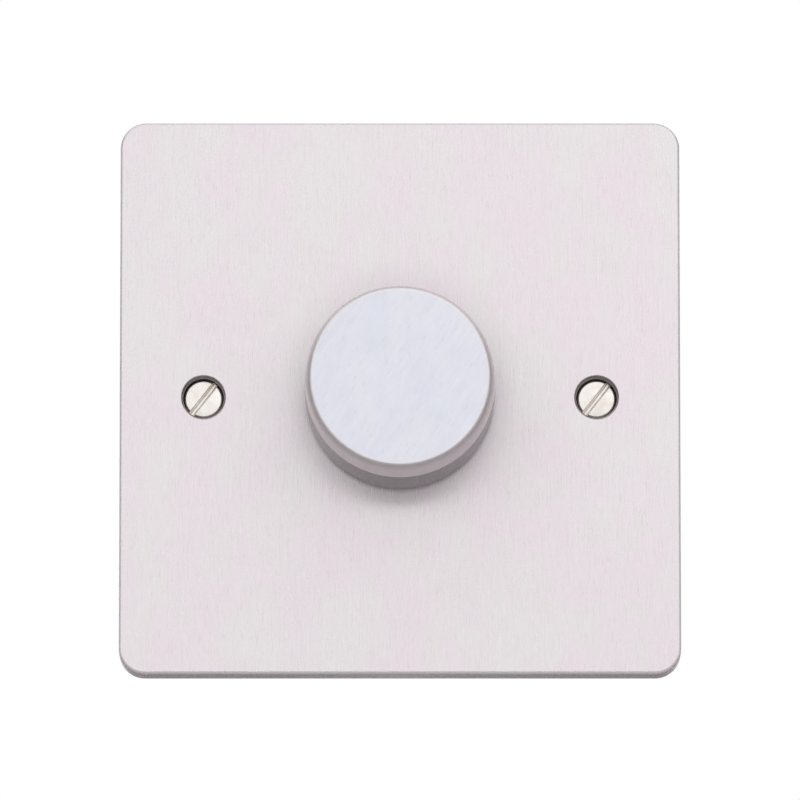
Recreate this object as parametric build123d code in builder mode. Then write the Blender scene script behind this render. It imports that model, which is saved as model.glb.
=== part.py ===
from build123d import *
import os

# Rotary dimmer switch: one round knob on a square metal wall plate, with its dimmer module behind.
# All sizes are in millimetres. X points right, Z points up and Y points into the wall.
# The origin is the middle of the plate, on the wall plane.
# Every height is measured from the wall plane towards the room, so what is behind the wall is negative.

# Face plate
plate_side = 86.0
plate_depth = 4.2
plate_sheet = 1.5
plate_corner = 4.0
plate_edge = 0.5

# Fixing screws and the holes that they sit in
fixing_spacing = 60.3
fixing_hole_gap = 0.075
fixing_hole_lip = 0.45
fixing_head_diameter = 6.15
fixing_disc_diameter = 5.45
fixing_head_rim = 0.2
fixing_shank_diameter = 3.5
fixing_recess = 1.4
fixing_length = 25.0
fixing_neck_diameter = 3.1
fixing_tip = 0.8
fixing_slot_width = 1.0
fixing_slot_depth = 0.9
fixing_slot_angle = 52.0
fixing_passage = 0.25
seat_gap = 0.05

# Backing frame
frame_clearance = 0.2
frame_web = 1.2
frame_module_gap = 0.4
pocket_corner = 1.0
pocket_wall = 2.0

# Knob
knob_diameter = 29.0
knob_face_diameter = 27.4
knob_height = 15.6
knob_lip_depth = 1.0
knob_lip_drop = 0.18
knob_draft_depth = 4.2
knob_face_edge = 0.35
knob_lip_round = 1.5
knob_base_round = 0.3
knob_wall = 1.2
knob_cap = 1.5
push_travel = 1.2
push_margin = 0.4

# Moulded insert in the knob
insert_fit = 0.05
insert_skirt_setback = 0.8
insert_wall = 1.2
insert_web = 1.4
insert_ribs = 6
insert_rib_width = 1.2
hub_wall = 2.4
hub_end_gap = 0.4

# Shaft, bush, washer and nut
shaft_diameter = 6.0
shaft_flat = 1.5
shaft_chamfer = 0.5
shaft_grip = 9.6
running_gap = 0.05
bush_diameter = 10.0
bush_flange_diameter = 15.0
bush_flange = 1.0
bush_chamfer = 0.5
bush_show = 0.8
bush_hole_gap = 0.15
washer_diameter = 15.6
washer_thickness = 0.6
washer_teeth = 10
nut_across_flats = 14.0
nut_thickness = 2.2

# Spring clip on the flat of the shaft
clip_width = 3.6
clip_length = 8.0
clip_sheet = 0.3
clip_bow = 0.2

# Circlip on the shaft
circlip_diameter = 9.2
circlip_thickness = 0.5
circlip_mouth = 3.6
groove_diameter = 4.6
groove_play = 0.1
circlip_gap = 0.15

# Control housing, rotor, wiper and track
housing_diameter = 17.0
housing_wall = 0.8
stop_inner_gap = 0.3
stop_half_angle = 31.5
lug_half_angle = 12.0
lug_reach = 1.1
rotor_diameter = 12.6
rotor_thickness = 1.4
rotor_hub_diameter = 8.4
rotor_hub_length = 2.0
rotor_start_gap = 0.35
rotor_bearing_gap = 0.08
wiper_sheet = 0.3
wiper_finger = 0.3
wiper_inner_diameter = 8.7
wiper_outer_diameter = 12.0
wiper_finger_half_angle = 12.0
track_board_thickness = 1.0
track_film = 0.1
track_inner_diameter = 10.4
track_outer_diameter = 13.2
track_half_angle = 140.0
track_gap = 0.1
tongue_width = 11.0
tongue_reach = 11.6
pin_pitch = 4.0
pin_row = 9.9
pin_diameter = 0.8
pin_head_diameter = 1.5
pin_head = 0.3
pin_fit = 0.05
lead_hole_gap = 0.15
lead_show = 0.7

# Push switch
switch_side = 14.0
switch_depth = 5.6
switch_wall = 0.9
switch_corner = 1.0
plunger_gap = 0.1
shaft_tail = 1.4
plunger_diameter = 8.4
plunger_flange = 1.0
plunger_stem_diameter = 3.0
plunger_stem = 0.8
bridge_length = 10.4
bridge_width = 2.4
bridge_sheet = 0.4
bridge_eye_diameter = 5.4
contact_sheet = 0.45
contact_place = 4.0
contact_length = 2.4
contact_pin = 0.8
spring_wire = 0.3
spring_diameter = 4.4
spring_turns = 3

# Heat sink and module case
sink_sheet = 1.5
case_width = 46.0
case_height = 52.0
case_corner = 2.0
case_wall = 1.6
case_rear_round = 0.8
post_diameter = 5.4
post_inset = 2.2
solder_room = 1.8
ledge_length = 8.0
ledge_width = 1.6
small_screw_head = 4.4
small_screw_shank = 2.5
small_screw_length = 8.0
small_screw_rim = 0.15
small_slot = 0.6
small_slot_angle = 45.0
thread_gap = 0.05

# Circuit board
board_thickness = 1.6
board_gap = 0.4
board_corner = 1.0

# Wire terminals
terminal_count = 3
terminal_margin = 7.5
terminal_width = 7.0
terminal_length = 8.0
terminal_corner = 0.5
terminal_wall_gap = 3.4
wire_hole_diameter = 3.8
wire_clearance = 0.5
clamp_wall = 2.5
clamp_screw_diameter = 3.4
clamp_screw_show = 0.8
clamp_screw_back_off = 0.2
terminal_pin_diameter = 1.2
terminal_pin_offset = 2.2
window_gap = 0.3
barrier_wall = 1.4
barrier_set_down = 0.6
barrier_back_gap = 1.5

# Earth terminal
earth_side = 7.0
earth_gap = 2.7
earth_tab_width = 9.0
earth_tab_border = 0.3
earth_rivet_diameter = 3.0
earth_wire_height = -3.0

# Triac on the heat sink
triac_place = -9.0
triac_width = 7.8
triac_length = 10.8
triac_housing_gap = 0.9
triac_thickness = 2.7
triac_draft = 3.0
triac_back_thickness = 0.8
triac_hole_diameter = 3.1
triac_hole_inset = 3.8
triac_leg_pitch = 2.3
triac_leg_width = 0.8
triac_leg_sheet = 0.5
triac_leg_set = 1.3
triac_leg_drop = 2.3
pad_sheet = 0.3
pad_border = 0.8
triac_screw_show = 0.6
triac_nut_across_flats = 5.0
triac_nut_thickness = 2.0

# Choke
choke_wall_gaps = (8.0, 10.9)
choke_diameter = 12.0
choke_hole_diameter = 6.4
choke_height = 5.0
choke_wire = 0.8
choke_lead_diameter = 0.7
choke_fit = 0.05
choke_turns = 12
choke_turn_angle = 26.0
choke_stand = 0.85
choke_lead_inset = 4.0

# Small parts on the board
film_capacitor_gap = 0.5
film_capacitor_row = -11.6
film_capacitor_size = (13.0, 6.0, 9.0)
film_capacitor_pitch = 10.0
timing_capacitor_wall_gap = 7.4
timing_capacitor_row = -9.6
timing_capacitor_size = (7.2, 2.5, 6.5)
timing_capacitor_pitch = 5.0
resistor_wall_gap = 6.8
resistor_rows = (3.2, 0.0, -3.2)
resistor_length = 6.3
resistor_diameter = 2.3
resistor_pitch = 9.0
diode_wall_gap = 5.9
diode_row = -2.0
diode_length = 4.0
diode_diameter = 1.9
diode_pitch = 7.6
fuse_middle = -7.0
fuse_wall_gap = 2.4
fuse_length = 9.0
fuse_diameter = 3.2
fuse_pitch = 13.0
lead_diameter = 0.6
box_corner = 0.5

# Heights along the stack, from the room to the back of the module
plate_inner = plate_depth - plate_sheet
knob_base = plate_depth + push_travel + push_margin
knob_top = knob_base + knob_height
bush_end = plate_depth + washer_thickness + nut_thickness + bush_show
hub_end = bush_end + push_travel + hub_end_gap
cap_inner = knob_top - knob_cap
shaft_tip = hub_end + shaft_grip
sink_rear = plate_inner - sink_sheet
flange_rear = sink_rear - bush_flange
housing_inner = flange_rear - housing_wall
circlip_front = housing_inner - circlip_gap
circlip_rear = circlip_front - circlip_thickness
groove_rear = circlip_rear - groove_play
rotor_front = groove_rear - push_travel - rotor_start_gap
rotor_rear = rotor_front - rotor_thickness
hub_rear = rotor_rear - rotor_hub_length
wiper_rear = rotor_rear - wiper_sheet - wiper_finger
track_front = wiper_rear - track_gap
board_front_face = track_front - track_film
housing_rear = board_front_face - track_board_thickness
housing_depth = flange_rear - housing_rear
switch_inner = housing_rear - switch_wall
switch_rear = housing_rear - switch_depth
switch_floor = switch_rear + switch_wall
shaft_rear = housing_rear - shaft_tail
plunger_front = shaft_rear - plunger_gap
plunger_rear = plunger_front - plunger_flange
bridge_rear = plunger_rear - bridge_sheet
circuit_front = switch_rear
circuit_rear = circuit_front - board_thickness
case_floor = circuit_rear - solder_room
case_rear = case_floor - case_wall
wire_height = case_rear - wire_clearance - wire_hole_diameter / 2
terminal_rear = wire_height - wire_hole_diameter / 2 - clamp_wall
lead_end = circuit_rear - lead_show
head_top = plate_depth - fixing_recess

# Sizes across, worked out from the ones above
fixing_places = [(side * fixing_spacing / 2, 0) for side in (-1, 1)]
tray_side = plate_side - 2 * plate_sheet
tray_corner = plate_corner - plate_sheet
frame_side = tray_side - 2 * frame_clearance
head_radius = fixing_head_diameter / 2
fixing_hole_radius = head_radius + fixing_hole_gap
disc_radius = fixing_disc_diameter / 2
shank_radius = fixing_shank_diameter / 2
neck_radius = fixing_neck_diameter / 2
head_chamfer = head_radius - disc_radius
cone_top = head_top - head_chamfer - fixing_head_rim
knob_radius = knob_diameter / 2
shell_bore = knob_radius - knob_wall
insert_radius = shell_bore - insert_fit
shaft_radius = shaft_diameter / 2
shaft_bore = shaft_radius + running_gap
hub_radius = shaft_bore + hub_wall
housing_bore = housing_diameter / 2 - housing_wall
case_inner_width = case_width - 2 * case_wall
case_inner_height = case_height - 2 * case_wall
post_places = [
    (x * (case_inner_width / 2 - post_inset), z * (case_inner_height / 2 - post_inset))
    for x in (-1, 1)
    for z in (-1, 1)
]
side_wall = case_inner_width / 2
end_wall = case_inner_height / 2
terminal_pitch = case_width / 2 - terminal_margin - terminal_width / 2
terminal_row = end_wall - terminal_wall_gap - terminal_length / 2
terminal_places = [
    ((number - (terminal_count - 1) / 2) * terminal_pitch, -terminal_row)
    for number in range(terminal_count)
]
pin_places = [(number * pin_pitch, -pin_row) for number in (-1, 0, 1)]
contact_places = [(side * contact_place, 0) for side in (-1, 1)]
earth_row = case_height / 2 + earth_gap + earth_side / 2
earth_tab_end = earth_row + earth_side / 2 + earth_tab_border
choke_place = (side_wall - choke_wall_gaps[0], end_wall - choke_wall_gaps[1])
film_capacitor_middle = tongue_width / 2 + film_capacitor_gap + film_capacitor_size[0] / 2
film_capacitor_place = (film_capacitor_middle, film_capacitor_row)
timing_capacitor_place = (timing_capacitor_wall_gap - side_wall, timing_capacitor_row)
resistor_places = [(resistor_wall_gap - side_wall, row) for row in resistor_rows]
diode_place = (side_wall - diode_wall_gap, diode_row)
fuse_place = (fuse_middle, fuse_wall_gap - end_wall)
triac_base = housing_diameter / 2 + triac_housing_gap
triac_leg_row = triac_base - triac_leg_drop
triac_leg_places = [(triac_place + number * triac_leg_pitch, triac_leg_row) for number in (-1, 0, 1)]
triac_hole_row = triac_base + triac_length - triac_hole_inset


def level(height, x=0.0, z=0.0):
    """Give the plane parallel to the wall at a height, facing the room, with its origin at x, z."""
    return Plane(origin=(x, -height, z), x_dir=(1, 0, 0), z_dir=(0, -1, 0))


def section(x=0.0, z=0.0):
    """Give the plane through an axis at x, z, where a point is a radius and a height."""
    return Plane(origin=(x, 0, z), x_dir=(1, 0, 0), z_dir=(0, 0, -1))


def spindle(x=0.0, z=0.0):
    """Give the axis square to the wall at x, z."""
    return Axis((x, 0, z), (0, 1, 0))


def finish(part, label):
    """Name a finished piece and write it to its file."""
    part.part.label = label
    export_step(part.part, os.path.join("parts", label + ".step"))


def turned(points, x=0.0, z=0.0, rounds=()):
    """Turn a closed outline of radius and height points, with some corners rounded first."""
    with BuildSketch(section(x, z)) as outline:
        with BuildLine():
            Polyline(*points, close=True)
        make_face()
        for corner, radius in rounds:
            fillet(outline.vertices().sort_by_distance((*corner, 0))[0], radius)
    revolve(outline.sketch, axis=spindle(x, z))


def ring_sector(inner, outer, middle, half_angle):
    """Add a part of a ring, between two radii and about a middle angle, to the open sketch."""
    with BuildSketch(mode=Mode.PRIVATE) as sector:
        with BuildLine():
            inside = CenterArc((0, 0), inner, middle - half_angle, 2 * half_angle)
            outside = CenterArc((0, 0), outer, middle - half_angle, 2 * half_angle)
            Line(inside @ 0, outside @ 0)
            Line(inside @ 1, outside @ 1)
        make_face()
    add(sector.sketch_local)


def d_section(radius, flat):
    """Add a round section with one flat, as on the shaft, to the open sketch."""
    Circle(radius)
    with Locations((0, flat + radius)):
        Rectangle(2 * radius, 2 * radius, mode=Mode.SUBTRACT)


def countersunk(places, tip):
    """Turn one small slotted countersunk screw at each place, its head just below the heat sink's face."""
    top = plate_inner - small_screw_rim
    head = small_screw_head / 2 - small_screw_rim
    shank = small_screw_shank / 2
    for x, z in places:
        turned([(0, top), (head, top), (shank, top - (head - shank)), (shank, tip), (0, tip)], x, z)
    with BuildSketch(level(top)) as slots:
        with Locations(*places):
            Rectangle(small_screw_head, small_slot, rotation=small_slot_angle)
    extrude(slots.sketch, amount=-small_slot, mode=Mode.SUBTRACT)


def axial(place, length, diameter, pitch):
    """Add a part with a lead at each end, lying along X on the circuit board."""
    x, z = place
    middle = circuit_front + diameter / 2
    with BuildSketch(Plane.YZ.offset(x - length / 2)) as body_end:
        with Locations((-middle, z)):
            Circle(diameter / 2)
    extrude(body_end.sketch, amount=length)
    with BuildSketch(Plane.YZ.offset(x - pitch / 2)) as wire_end:
        with Locations((-middle, z)):
            Circle(lead_diameter / 2)
    extrude(wire_end.sketch, amount=pitch)
    two_leads(place, pitch, middle)
    with Locations((x - pitch / 2, -middle, z), (x + pitch / 2, -middle, z)):
        Sphere(lead_diameter / 2)


def two_leads(place, pitch, height):
    """Add the two straight leads of a part that stands on the circuit board."""
    x, z = place
    with BuildSketch(level(height)) as leads:
        with Locations((x - pitch / 2, z), (x + pitch / 2, z)):
            Circle(lead_diameter / 2)
    extrude(leads.sketch, amount=lead_end - height)


def lead_places(places, pitch):
    """Give the places of the two leads of each part."""
    return [(x + side * pitch / 2, z) for x, z in places for side in (-1, 1)]


os.makedirs("parts", exist_ok=True)

# Face plate: a shallow pressed tray with a turned-back rim
with BuildPart() as face_plate:
    with BuildSketch(level(0)):
        RectangleRounded(plate_side, plate_side, plate_corner)
    extrude(amount=plate_depth)
    fillet(face_plate.faces().sort_by(Axis.Y)[0].edges(), plate_edge)
    with BuildSketch(level(0)):
        RectangleRounded(tray_side, tray_side, tray_corner)
    extrude(amount=plate_inner, mode=Mode.SUBTRACT)
    with BuildSketch(level(plate_inner)):
        Circle(bush_diameter / 2 + bush_hole_gap)
        with Locations(*fixing_places):
            Circle(fixing_hole_radius)
    extrude(amount=plate_sheet, mode=Mode.SUBTRACT)
    front_edges = face_plate.edges().filter_by(GeomType.CIRCLE).group_by(Axis.Y)[0]
    lips = front_edges.filter_by(lambda edge: abs(edge.radius - fixing_hole_radius) < 0.001)
    fillet(lips, fixing_hole_lip)
finish(face_plate, "face_plate")

# Backing frame: a moulding inside the tray, open for the module and its earth tab
frame_margin = frame_side / 2
opening_width = case_width + 2 * frame_module_gap
opening_height = case_height + 2 * frame_module_gap
side_pocket = frame_margin - opening_width / 2 - 2 * pocket_wall
side_pocket_height = frame_margin - pocket_wall - fixing_head_diameter
end_pocket = frame_margin - opening_height / 2 - 2 * pocket_wall
end_pocket_width = (opening_width - earth_tab_width) / 2 - 2 * pocket_wall
with BuildPart() as backing_frame:
    with BuildSketch(level(0)):
        RectangleRounded(frame_side, frame_side, tray_corner - frame_clearance)
        RectangleRounded(opening_width, opening_height, case_corner, mode=Mode.SUBTRACT)
        with Locations((0, (earth_tab_end + frame_module_gap) / 2)):
            Rectangle(
                earth_tab_width + 2 * frame_module_gap,
                earth_tab_end + frame_module_gap,
                mode=Mode.SUBTRACT,
            )
    extrude(amount=plate_inner)
    with BuildSketch(level(0)):
        pocket_x = frame_margin - pocket_wall - side_pocket / 2
        pocket_z = fixing_head_diameter + side_pocket_height / 2
        with GridLocations(2 * pocket_x, 2 * pocket_z, 2, 2):
            RectangleRounded(side_pocket, side_pocket_height, pocket_corner)
        end_x = opening_width / 2 - end_pocket_width / 2 - pocket_wall / 2
        end_z = frame_margin - pocket_wall - end_pocket / 2
        with GridLocations(2 * end_x, 2 * end_z, 2, 2):
            RectangleRounded(end_pocket_width, end_pocket, pocket_corner)
    extrude(amount=plate_inner - frame_web, mode=Mode.SUBTRACT)
    with Locations(level(plate_inner)):
        with Locations(*fixing_places):
            CounterSinkHole(
                radius=shank_radius + fixing_passage,
                counter_sink_radius=head_radius + (plate_inner - cone_top) + seat_gap,
                counter_sink_angle=90,
            )
finish(backing_frame, "backing_frame")

# Fixing screws: two alike, with a raised rim and a slot across each head
with BuildPart() as fixing_screws:
    screw_end = head_top - fixing_length
    for place_x, place_z in fixing_places:
        turned(
            [
                (0, head_top),
                (disc_radius, head_top),
                (head_radius, head_top - head_chamfer),
                (head_radius, cone_top),
                (neck_radius, cone_top - (head_radius - neck_radius)),
                (neck_radius, 0),
                (shank_radius, 0),
                (shank_radius, screw_end + fixing_tip),
                (shank_radius - fixing_tip, screw_end),
                (0, screw_end),
            ],
            place_x,
            place_z,
        )
    with BuildSketch(level(head_top)):
        with Locations(*fixing_places):
            Rectangle(2 * fixing_head_diameter, fixing_slot_width, rotation=fixing_slot_angle)
    extrude(amount=-fixing_slot_depth, mode=Mode.SUBTRACT)
finish(fixing_screws, "fixing_screws")

# Knob shell: a turned cup with a soft lip and a slight draft below it
with BuildPart() as knob_shell:
    face_radius = knob_face_diameter / 2
    lip_corner = (knob_radius - knob_lip_drop, knob_top - knob_lip_depth)
    turned(
        [
            (0, knob_top),
            (face_radius, knob_top),
            lip_corner,
            (knob_radius, knob_top - knob_draft_depth),
            (knob_radius, knob_base),
            (shell_bore, knob_base),
            (shell_bore, cap_inner),
            (0, cap_inner),
        ],
        rounds=[
            ((face_radius, knob_top), knob_face_edge),
            (lip_corner, knob_lip_round),
            ((knob_radius, knob_base), knob_base_round),
        ],
    )
finish(knob_shell, "knob_shell")

# Knob insert: hub, ribs and skirt in one moulding
with BuildPart() as knob_insert:
    skirt_end = knob_base + insert_skirt_setback
    with BuildSketch(level(skirt_end)):
        Circle(insert_radius)
        Circle(insert_radius - insert_wall, mode=Mode.SUBTRACT)
    extrude(amount=cap_inner - skirt_end)
    with BuildSketch(level(hub_end)):
        Circle(hub_radius)
        with PolarLocations(insert_radius / 2, insert_ribs, start_angle=90 / insert_ribs):
            Rectangle(insert_radius - insert_wall / 2, insert_rib_width)
    extrude(amount=cap_inner - hub_end)
    with BuildSketch(level(cap_inner)):
        Circle(insert_radius - insert_wall / 2)
    extrude(amount=-insert_web)
    with BuildSketch(level(hub_end)):
        d_section(shaft_bore, shaft_flat + running_gap)
        with Locations((0, shaft_flat + running_gap + (clip_sheet + clip_bow) / 2)):
            Rectangle(clip_width + 2 * running_gap, clip_sheet + clip_bow + 2 * running_gap)
    extrude(amount=shaft_grip + hub_end_gap, mode=Mode.SUBTRACT)
finish(knob_insert, "knob_insert")

# Knob spring clip: a bowed leaf that presses on the flat of the shaft
with BuildPart() as knob_spring_clip:
    clip_start = hub_end + (shaft_grip - clip_length) / 2
    clip_near = shaft_flat + running_gap + clip_sheet / 2
    with BuildSketch(Plane.YZ):
        with BuildLine():
            ThreePointArc(
                (-clip_start, clip_near + clip_bow),
                (-clip_start - clip_length / 2, clip_near),
                (-clip_start - clip_length, clip_near + clip_bow),
            )
        trace(line_width=clip_sheet)
    extrude(amount=clip_width / 2, both=True)
finish(knob_spring_clip, "knob_spring_clip")

# Shaft: round in the bush, with a flat in the knob and another in the rotor
with BuildPart() as shaft:
    groove_radius = groove_diameter / 2
    turned(
        [
            (0, shaft_tip),
            (shaft_radius - shaft_chamfer, shaft_tip),
            (shaft_radius, shaft_tip - shaft_chamfer),
            (shaft_radius, circlip_front),
            (groove_radius, circlip_front),
            (groove_radius, groove_rear),
            (shaft_radius, groove_rear),
            (shaft_radius, shaft_rear),
            (0, shaft_rear),
        ]
    )
    with BuildSketch(level(hub_end)):
        with Locations((0, shaft_flat + shaft_radius)):
            Rectangle(2 * shaft_radius, 2 * shaft_radius)
    extrude(amount=shaft_grip, mode=Mode.SUBTRACT)
    with BuildSketch(level(shaft_rear)):
        with Locations((0, shaft_flat + shaft_radius)):
            Rectangle(2 * shaft_radius, 2 * shaft_radius)
    extrude(amount=groove_rear - shaft_rear, mode=Mode.SUBTRACT)
finish(shaft, "shaft")

# Shaft circlip: stops the shaft from coming out through the bush
with BuildPart() as shaft_circlip:
    with BuildSketch(level(circlip_rear)):
        Circle(circlip_diameter / 2)
        Circle(groove_diameter / 2 + running_gap, mode=Mode.SUBTRACT)
        with Locations((0, -circlip_diameter / 2)):
            Rectangle(circlip_mouth, circlip_diameter, mode=Mode.SUBTRACT)
    extrude(amount=circlip_thickness)
finish(shaft_circlip, "shaft_circlip")

# Control bush: flanged, through the heat sink and the plate
with BuildPart() as control_bush:
    turned(
        [
            (shaft_bore, flange_rear),
            (bush_flange_diameter / 2, flange_rear),
            (bush_flange_diameter / 2, sink_rear),
            (bush_diameter / 2, sink_rear),
            (bush_diameter / 2, bush_end - bush_chamfer),
            (bush_diameter / 2 - bush_chamfer, bush_end),
            (shaft_bore, bush_end),
        ]
    )
finish(control_bush, "control_bush")

# Lock washer: toothed on the inside
with BuildPart() as lock_washer:
    notch_depth = (washer_diameter - bush_diameter) / 2
    notch_width = bush_diameter / washer_teeth
    with BuildSketch(level(plate_depth)):
        Circle(washer_diameter / 2)
        Circle(bush_diameter / 2 + bush_hole_gap, mode=Mode.SUBTRACT)
        with PolarLocations(bush_diameter / 2, washer_teeth):
            Rectangle(notch_depth, notch_width, mode=Mode.SUBTRACT)
    extrude(amount=washer_thickness)
finish(lock_washer, "lock_washer")

# Bush nut: a thin hexagon nut with its corners turned off
with BuildPart() as bush_nut:
    nut_base = plate_depth + washer_thickness
    corner_radius = nut_across_flats / 3**0.5
    with BuildSketch(level(nut_base)):
        RegularPolygon(nut_across_flats / 2, 6, major_radius=False)
        Circle(bush_diameter / 2 + running_gap, mode=Mode.SUBTRACT)
    extrude(amount=nut_thickness)
    with BuildSketch(section()):
        with BuildLine():
            Polyline(
                (0, nut_base),
                (corner_radius, nut_base),
                (corner_radius, nut_base + nut_thickness / 2),
                (nut_across_flats / 2, nut_base + nut_thickness),
                (0, nut_base + nut_thickness),
                close=True,
            )
        make_face()
    revolve(axis=spindle(), mode=Mode.INTERSECT)
finish(bush_nut, "bush_nut")

# Control housing: a cup with the stop that the rotor meets at each end of its travel
with BuildPart() as control_housing:
    with BuildSketch(level(housing_rear)):
        Circle(housing_diameter / 2)
    extrude(amount=housing_depth)
    with BuildSketch(level(housing_rear)):
        Circle(housing_bore)
    extrude(amount=housing_depth - housing_wall, mode=Mode.SUBTRACT)
    with BuildSketch(level(housing_inner)):
        ring_sector(
            rotor_diameter / 2 + stop_inner_gap, housing_bore + housing_wall / 2, -90, stop_half_angle
        )
    extrude(amount=rotor_rear - housing_inner)
    with BuildSketch(level(housing_inner)):
        Circle(shaft_radius + stop_inner_gap)
    extrude(amount=housing_wall, mode=Mode.SUBTRACT)
    with BuildSketch(level(housing_rear)):
        with Locations((0, -housing_diameter / 2)):
            Rectangle(tongue_width + 2 * lead_hole_gap, housing_diameter / 2)
    extrude(amount=board_front_face - housing_rear + lead_hole_gap, mode=Mode.SUBTRACT)
finish(control_housing, "control_housing")

# Rotor: carries the wiper, turns with the flat of the shaft and lets the shaft slide through
with BuildPart() as rotor:
    with BuildSketch(level(rotor_rear)):
        Circle(rotor_diameter / 2)
        ring_sector(rotor_hub_diameter / 2, rotor_diameter / 2 + lug_reach, 90, lug_half_angle)
    extrude(amount=rotor_thickness)
    with BuildSketch(level(hub_rear)):
        Circle(rotor_hub_diameter / 2)
    extrude(amount=rotor_hub_length)
    with BuildSketch(level(hub_rear)):
        d_section(shaft_bore, shaft_flat + running_gap)
    extrude(amount=rotor_hub_length + rotor_thickness, mode=Mode.SUBTRACT)
finish(rotor, "rotor")

# Wiper: a ring of spring sheet with two fingers towards the track
with BuildPart() as wiper:
    with BuildSketch(level(rotor_rear)):
        Circle(wiper_outer_diameter / 2)
        Circle(wiper_inner_diameter / 2, mode=Mode.SUBTRACT)
    extrude(amount=-wiper_sheet)
    with BuildSketch(level(rotor_rear - wiper_sheet)):
        ring_sector(track_inner_diameter / 2, wiper_outer_diameter / 2, 90, wiper_finger_half_angle)
        ring_sector(track_inner_diameter / 2, wiper_outer_diameter / 2, -90, wiper_finger_half_angle)
    extrude(amount=-wiper_finger)
finish(wiper, "wiper")

# Track board: closes the housing, bears the rotor's hub and holds the three pins on its tongue
with BuildPart() as track_board:
    with BuildSketch(level(housing_rear)):
        Circle(housing_bore - running_gap)
        with Locations((0, -tongue_reach / 2)):
            Rectangle(tongue_width, tongue_reach)
        Circle(rotor_hub_diameter / 2 + rotor_bearing_gap, mode=Mode.SUBTRACT)
        with Locations(*pin_places):
            Circle(pin_diameter / 2 + pin_fit, mode=Mode.SUBTRACT)
    extrude(amount=track_board_thickness)
finish(track_board, "track_board")

# Carbon track: a film on the board, open at the bottom
with BuildPart() as carbon_track:
    with BuildSketch(level(board_front_face)):
        ring_sector(track_inner_diameter / 2, track_outer_diameter / 2, 90, track_half_angle)
    extrude(amount=track_film)
finish(carbon_track, "carbon_track")

# Track pins: three alike, riveted in the tongue and soldered in the circuit board
with BuildPart() as track_pins:
    for place_x, place_z in pin_places:
        turned(
            [
                (0, board_front_face + pin_head),
                (pin_head_diameter / 2, board_front_face + pin_head),
                (pin_head_diameter / 2, board_front_face),
                (pin_diameter / 2, board_front_face),
                (pin_diameter / 2, lead_end),
                (0, lead_end),
            ],
            place_x,
            place_z,
        )
finish(track_pins, "track_pins")

# Switch case: a small box behind the control, open at the front for the shaft
with BuildPart() as switch_case:
    with BuildSketch(level(switch_rear)):
        RectangleRounded(switch_side, switch_side, switch_corner)
    extrude(amount=switch_depth)
    with BuildSketch(level(switch_floor)):
        Rectangle(switch_side - 2 * switch_wall, switch_side - 2 * switch_wall)
    extrude(amount=switch_inner - switch_floor, mode=Mode.SUBTRACT)
    with BuildSketch(level(switch_inner)):
        Circle(rotor_hub_diameter / 2 + stop_inner_gap)
    extrude(amount=switch_wall, mode=Mode.SUBTRACT)
    with BuildSketch(level(switch_floor)):
        with Locations(*contact_places):
            Rectangle(contact_pin + 2 * running_gap, contact_pin + 2 * running_gap)
    extrude(amount=-switch_wall, mode=Mode.SUBTRACT)
finish(switch_case, "switch_case")

# Plunger: pushed by the end of the shaft
with BuildPart() as switch_plunger:
    with BuildSketch(level(plunger_front)):
        Circle(plunger_diameter / 2)
    extrude(amount=-plunger_flange)
    with BuildSketch(level(plunger_rear)):
        Circle(plunger_stem_diameter / 2)
    extrude(amount=-plunger_stem)
finish(switch_plunger, "switch_plunger")

# Contact bridge: a strip under the flange of the plunger
with BuildPart() as contact_bridge:
    with BuildSketch(level(plunger_rear)):
        Rectangle(bridge_length, bridge_width)
        Circle(bridge_eye_diameter / 2)
        Circle(plunger_stem_diameter / 2 + running_gap, mode=Mode.SUBTRACT)
    extrude(amount=-bridge_sheet)
finish(contact_bridge, "contact_bridge")

# Fixed contacts: two alike, on the floor of the switch, with pins to the circuit board
with BuildPart() as fixed_contacts:
    with BuildSketch(level(switch_floor)):
        with Locations(*contact_places):
            Rectangle(contact_length, bridge_width)
    extrude(amount=contact_sheet)
    with BuildSketch(level(switch_floor)):
        with Locations(*contact_places):
            Rectangle(contact_pin, contact_pin)
    extrude(amount=lead_end - switch_floor)
finish(fixed_contacts, "fixed_contacts")

# Return spring: between the bridge and the floor of the switch
with BuildPart() as return_spring:
    spring_room = bridge_rear - switch_floor - spring_wire - 2 * running_gap
    spring_start = bridge_rear - spring_wire / 2 - running_gap
    with BuildLine() as coil:
        Helix(
            pitch=spring_room / spring_turns,
            height=spring_room,
            radius=spring_diameter / 2,
            center=(0, -spring_start, 0),
            direction=(0, 1, 0),
        )
    with BuildSketch(Plane(origin=coil.line @ 0, z_dir=coil.line % 0)):
        Circle(spring_wire / 2)
    sweep(path=coil.line, is_frenet=True)
finish(return_spring, "return_spring")

# Heat sink: closes the front of the case and carries the triac and the earth terminal
with BuildPart() as heat_sink:
    with BuildSketch(level(sink_rear)):
        RectangleRounded(case_width, case_height, case_corner)
        with Locations((0, earth_tab_end / 2)):
            Rectangle(earth_tab_width, earth_tab_end)
        Circle(bush_diameter / 2 + bush_hole_gap, mode=Mode.SUBTRACT)
        with Locations((0, earth_row)):
            Circle(earth_rivet_diameter / 2 + running_gap, mode=Mode.SUBTRACT)
    extrude(amount=sink_sheet)
    with Locations(level(plate_inner)):
        with Locations(*post_places, (triac_place, triac_hole_row)):
            CounterSinkHole(
                radius=small_screw_shank / 2 + seat_gap,
                counter_sink_radius=small_screw_head / 2 + seat_gap,
                counter_sink_angle=90,
            )
finish(heat_sink, "heat_sink")

# Case screws: four alike, countersunk in the heat sink
with BuildPart() as case_screws:
    countersunk(post_places, plate_inner - small_screw_length)
finish(case_screws, "case_screws")

# Triac screw and its nut
with BuildPart() as triac_screw:
    nut_front = sink_rear - pad_sheet - triac_thickness
    countersunk([(triac_place, triac_hole_row)], nut_front - triac_nut_thickness - triac_screw_show)
finish(triac_screw, "triac_screw")

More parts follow.
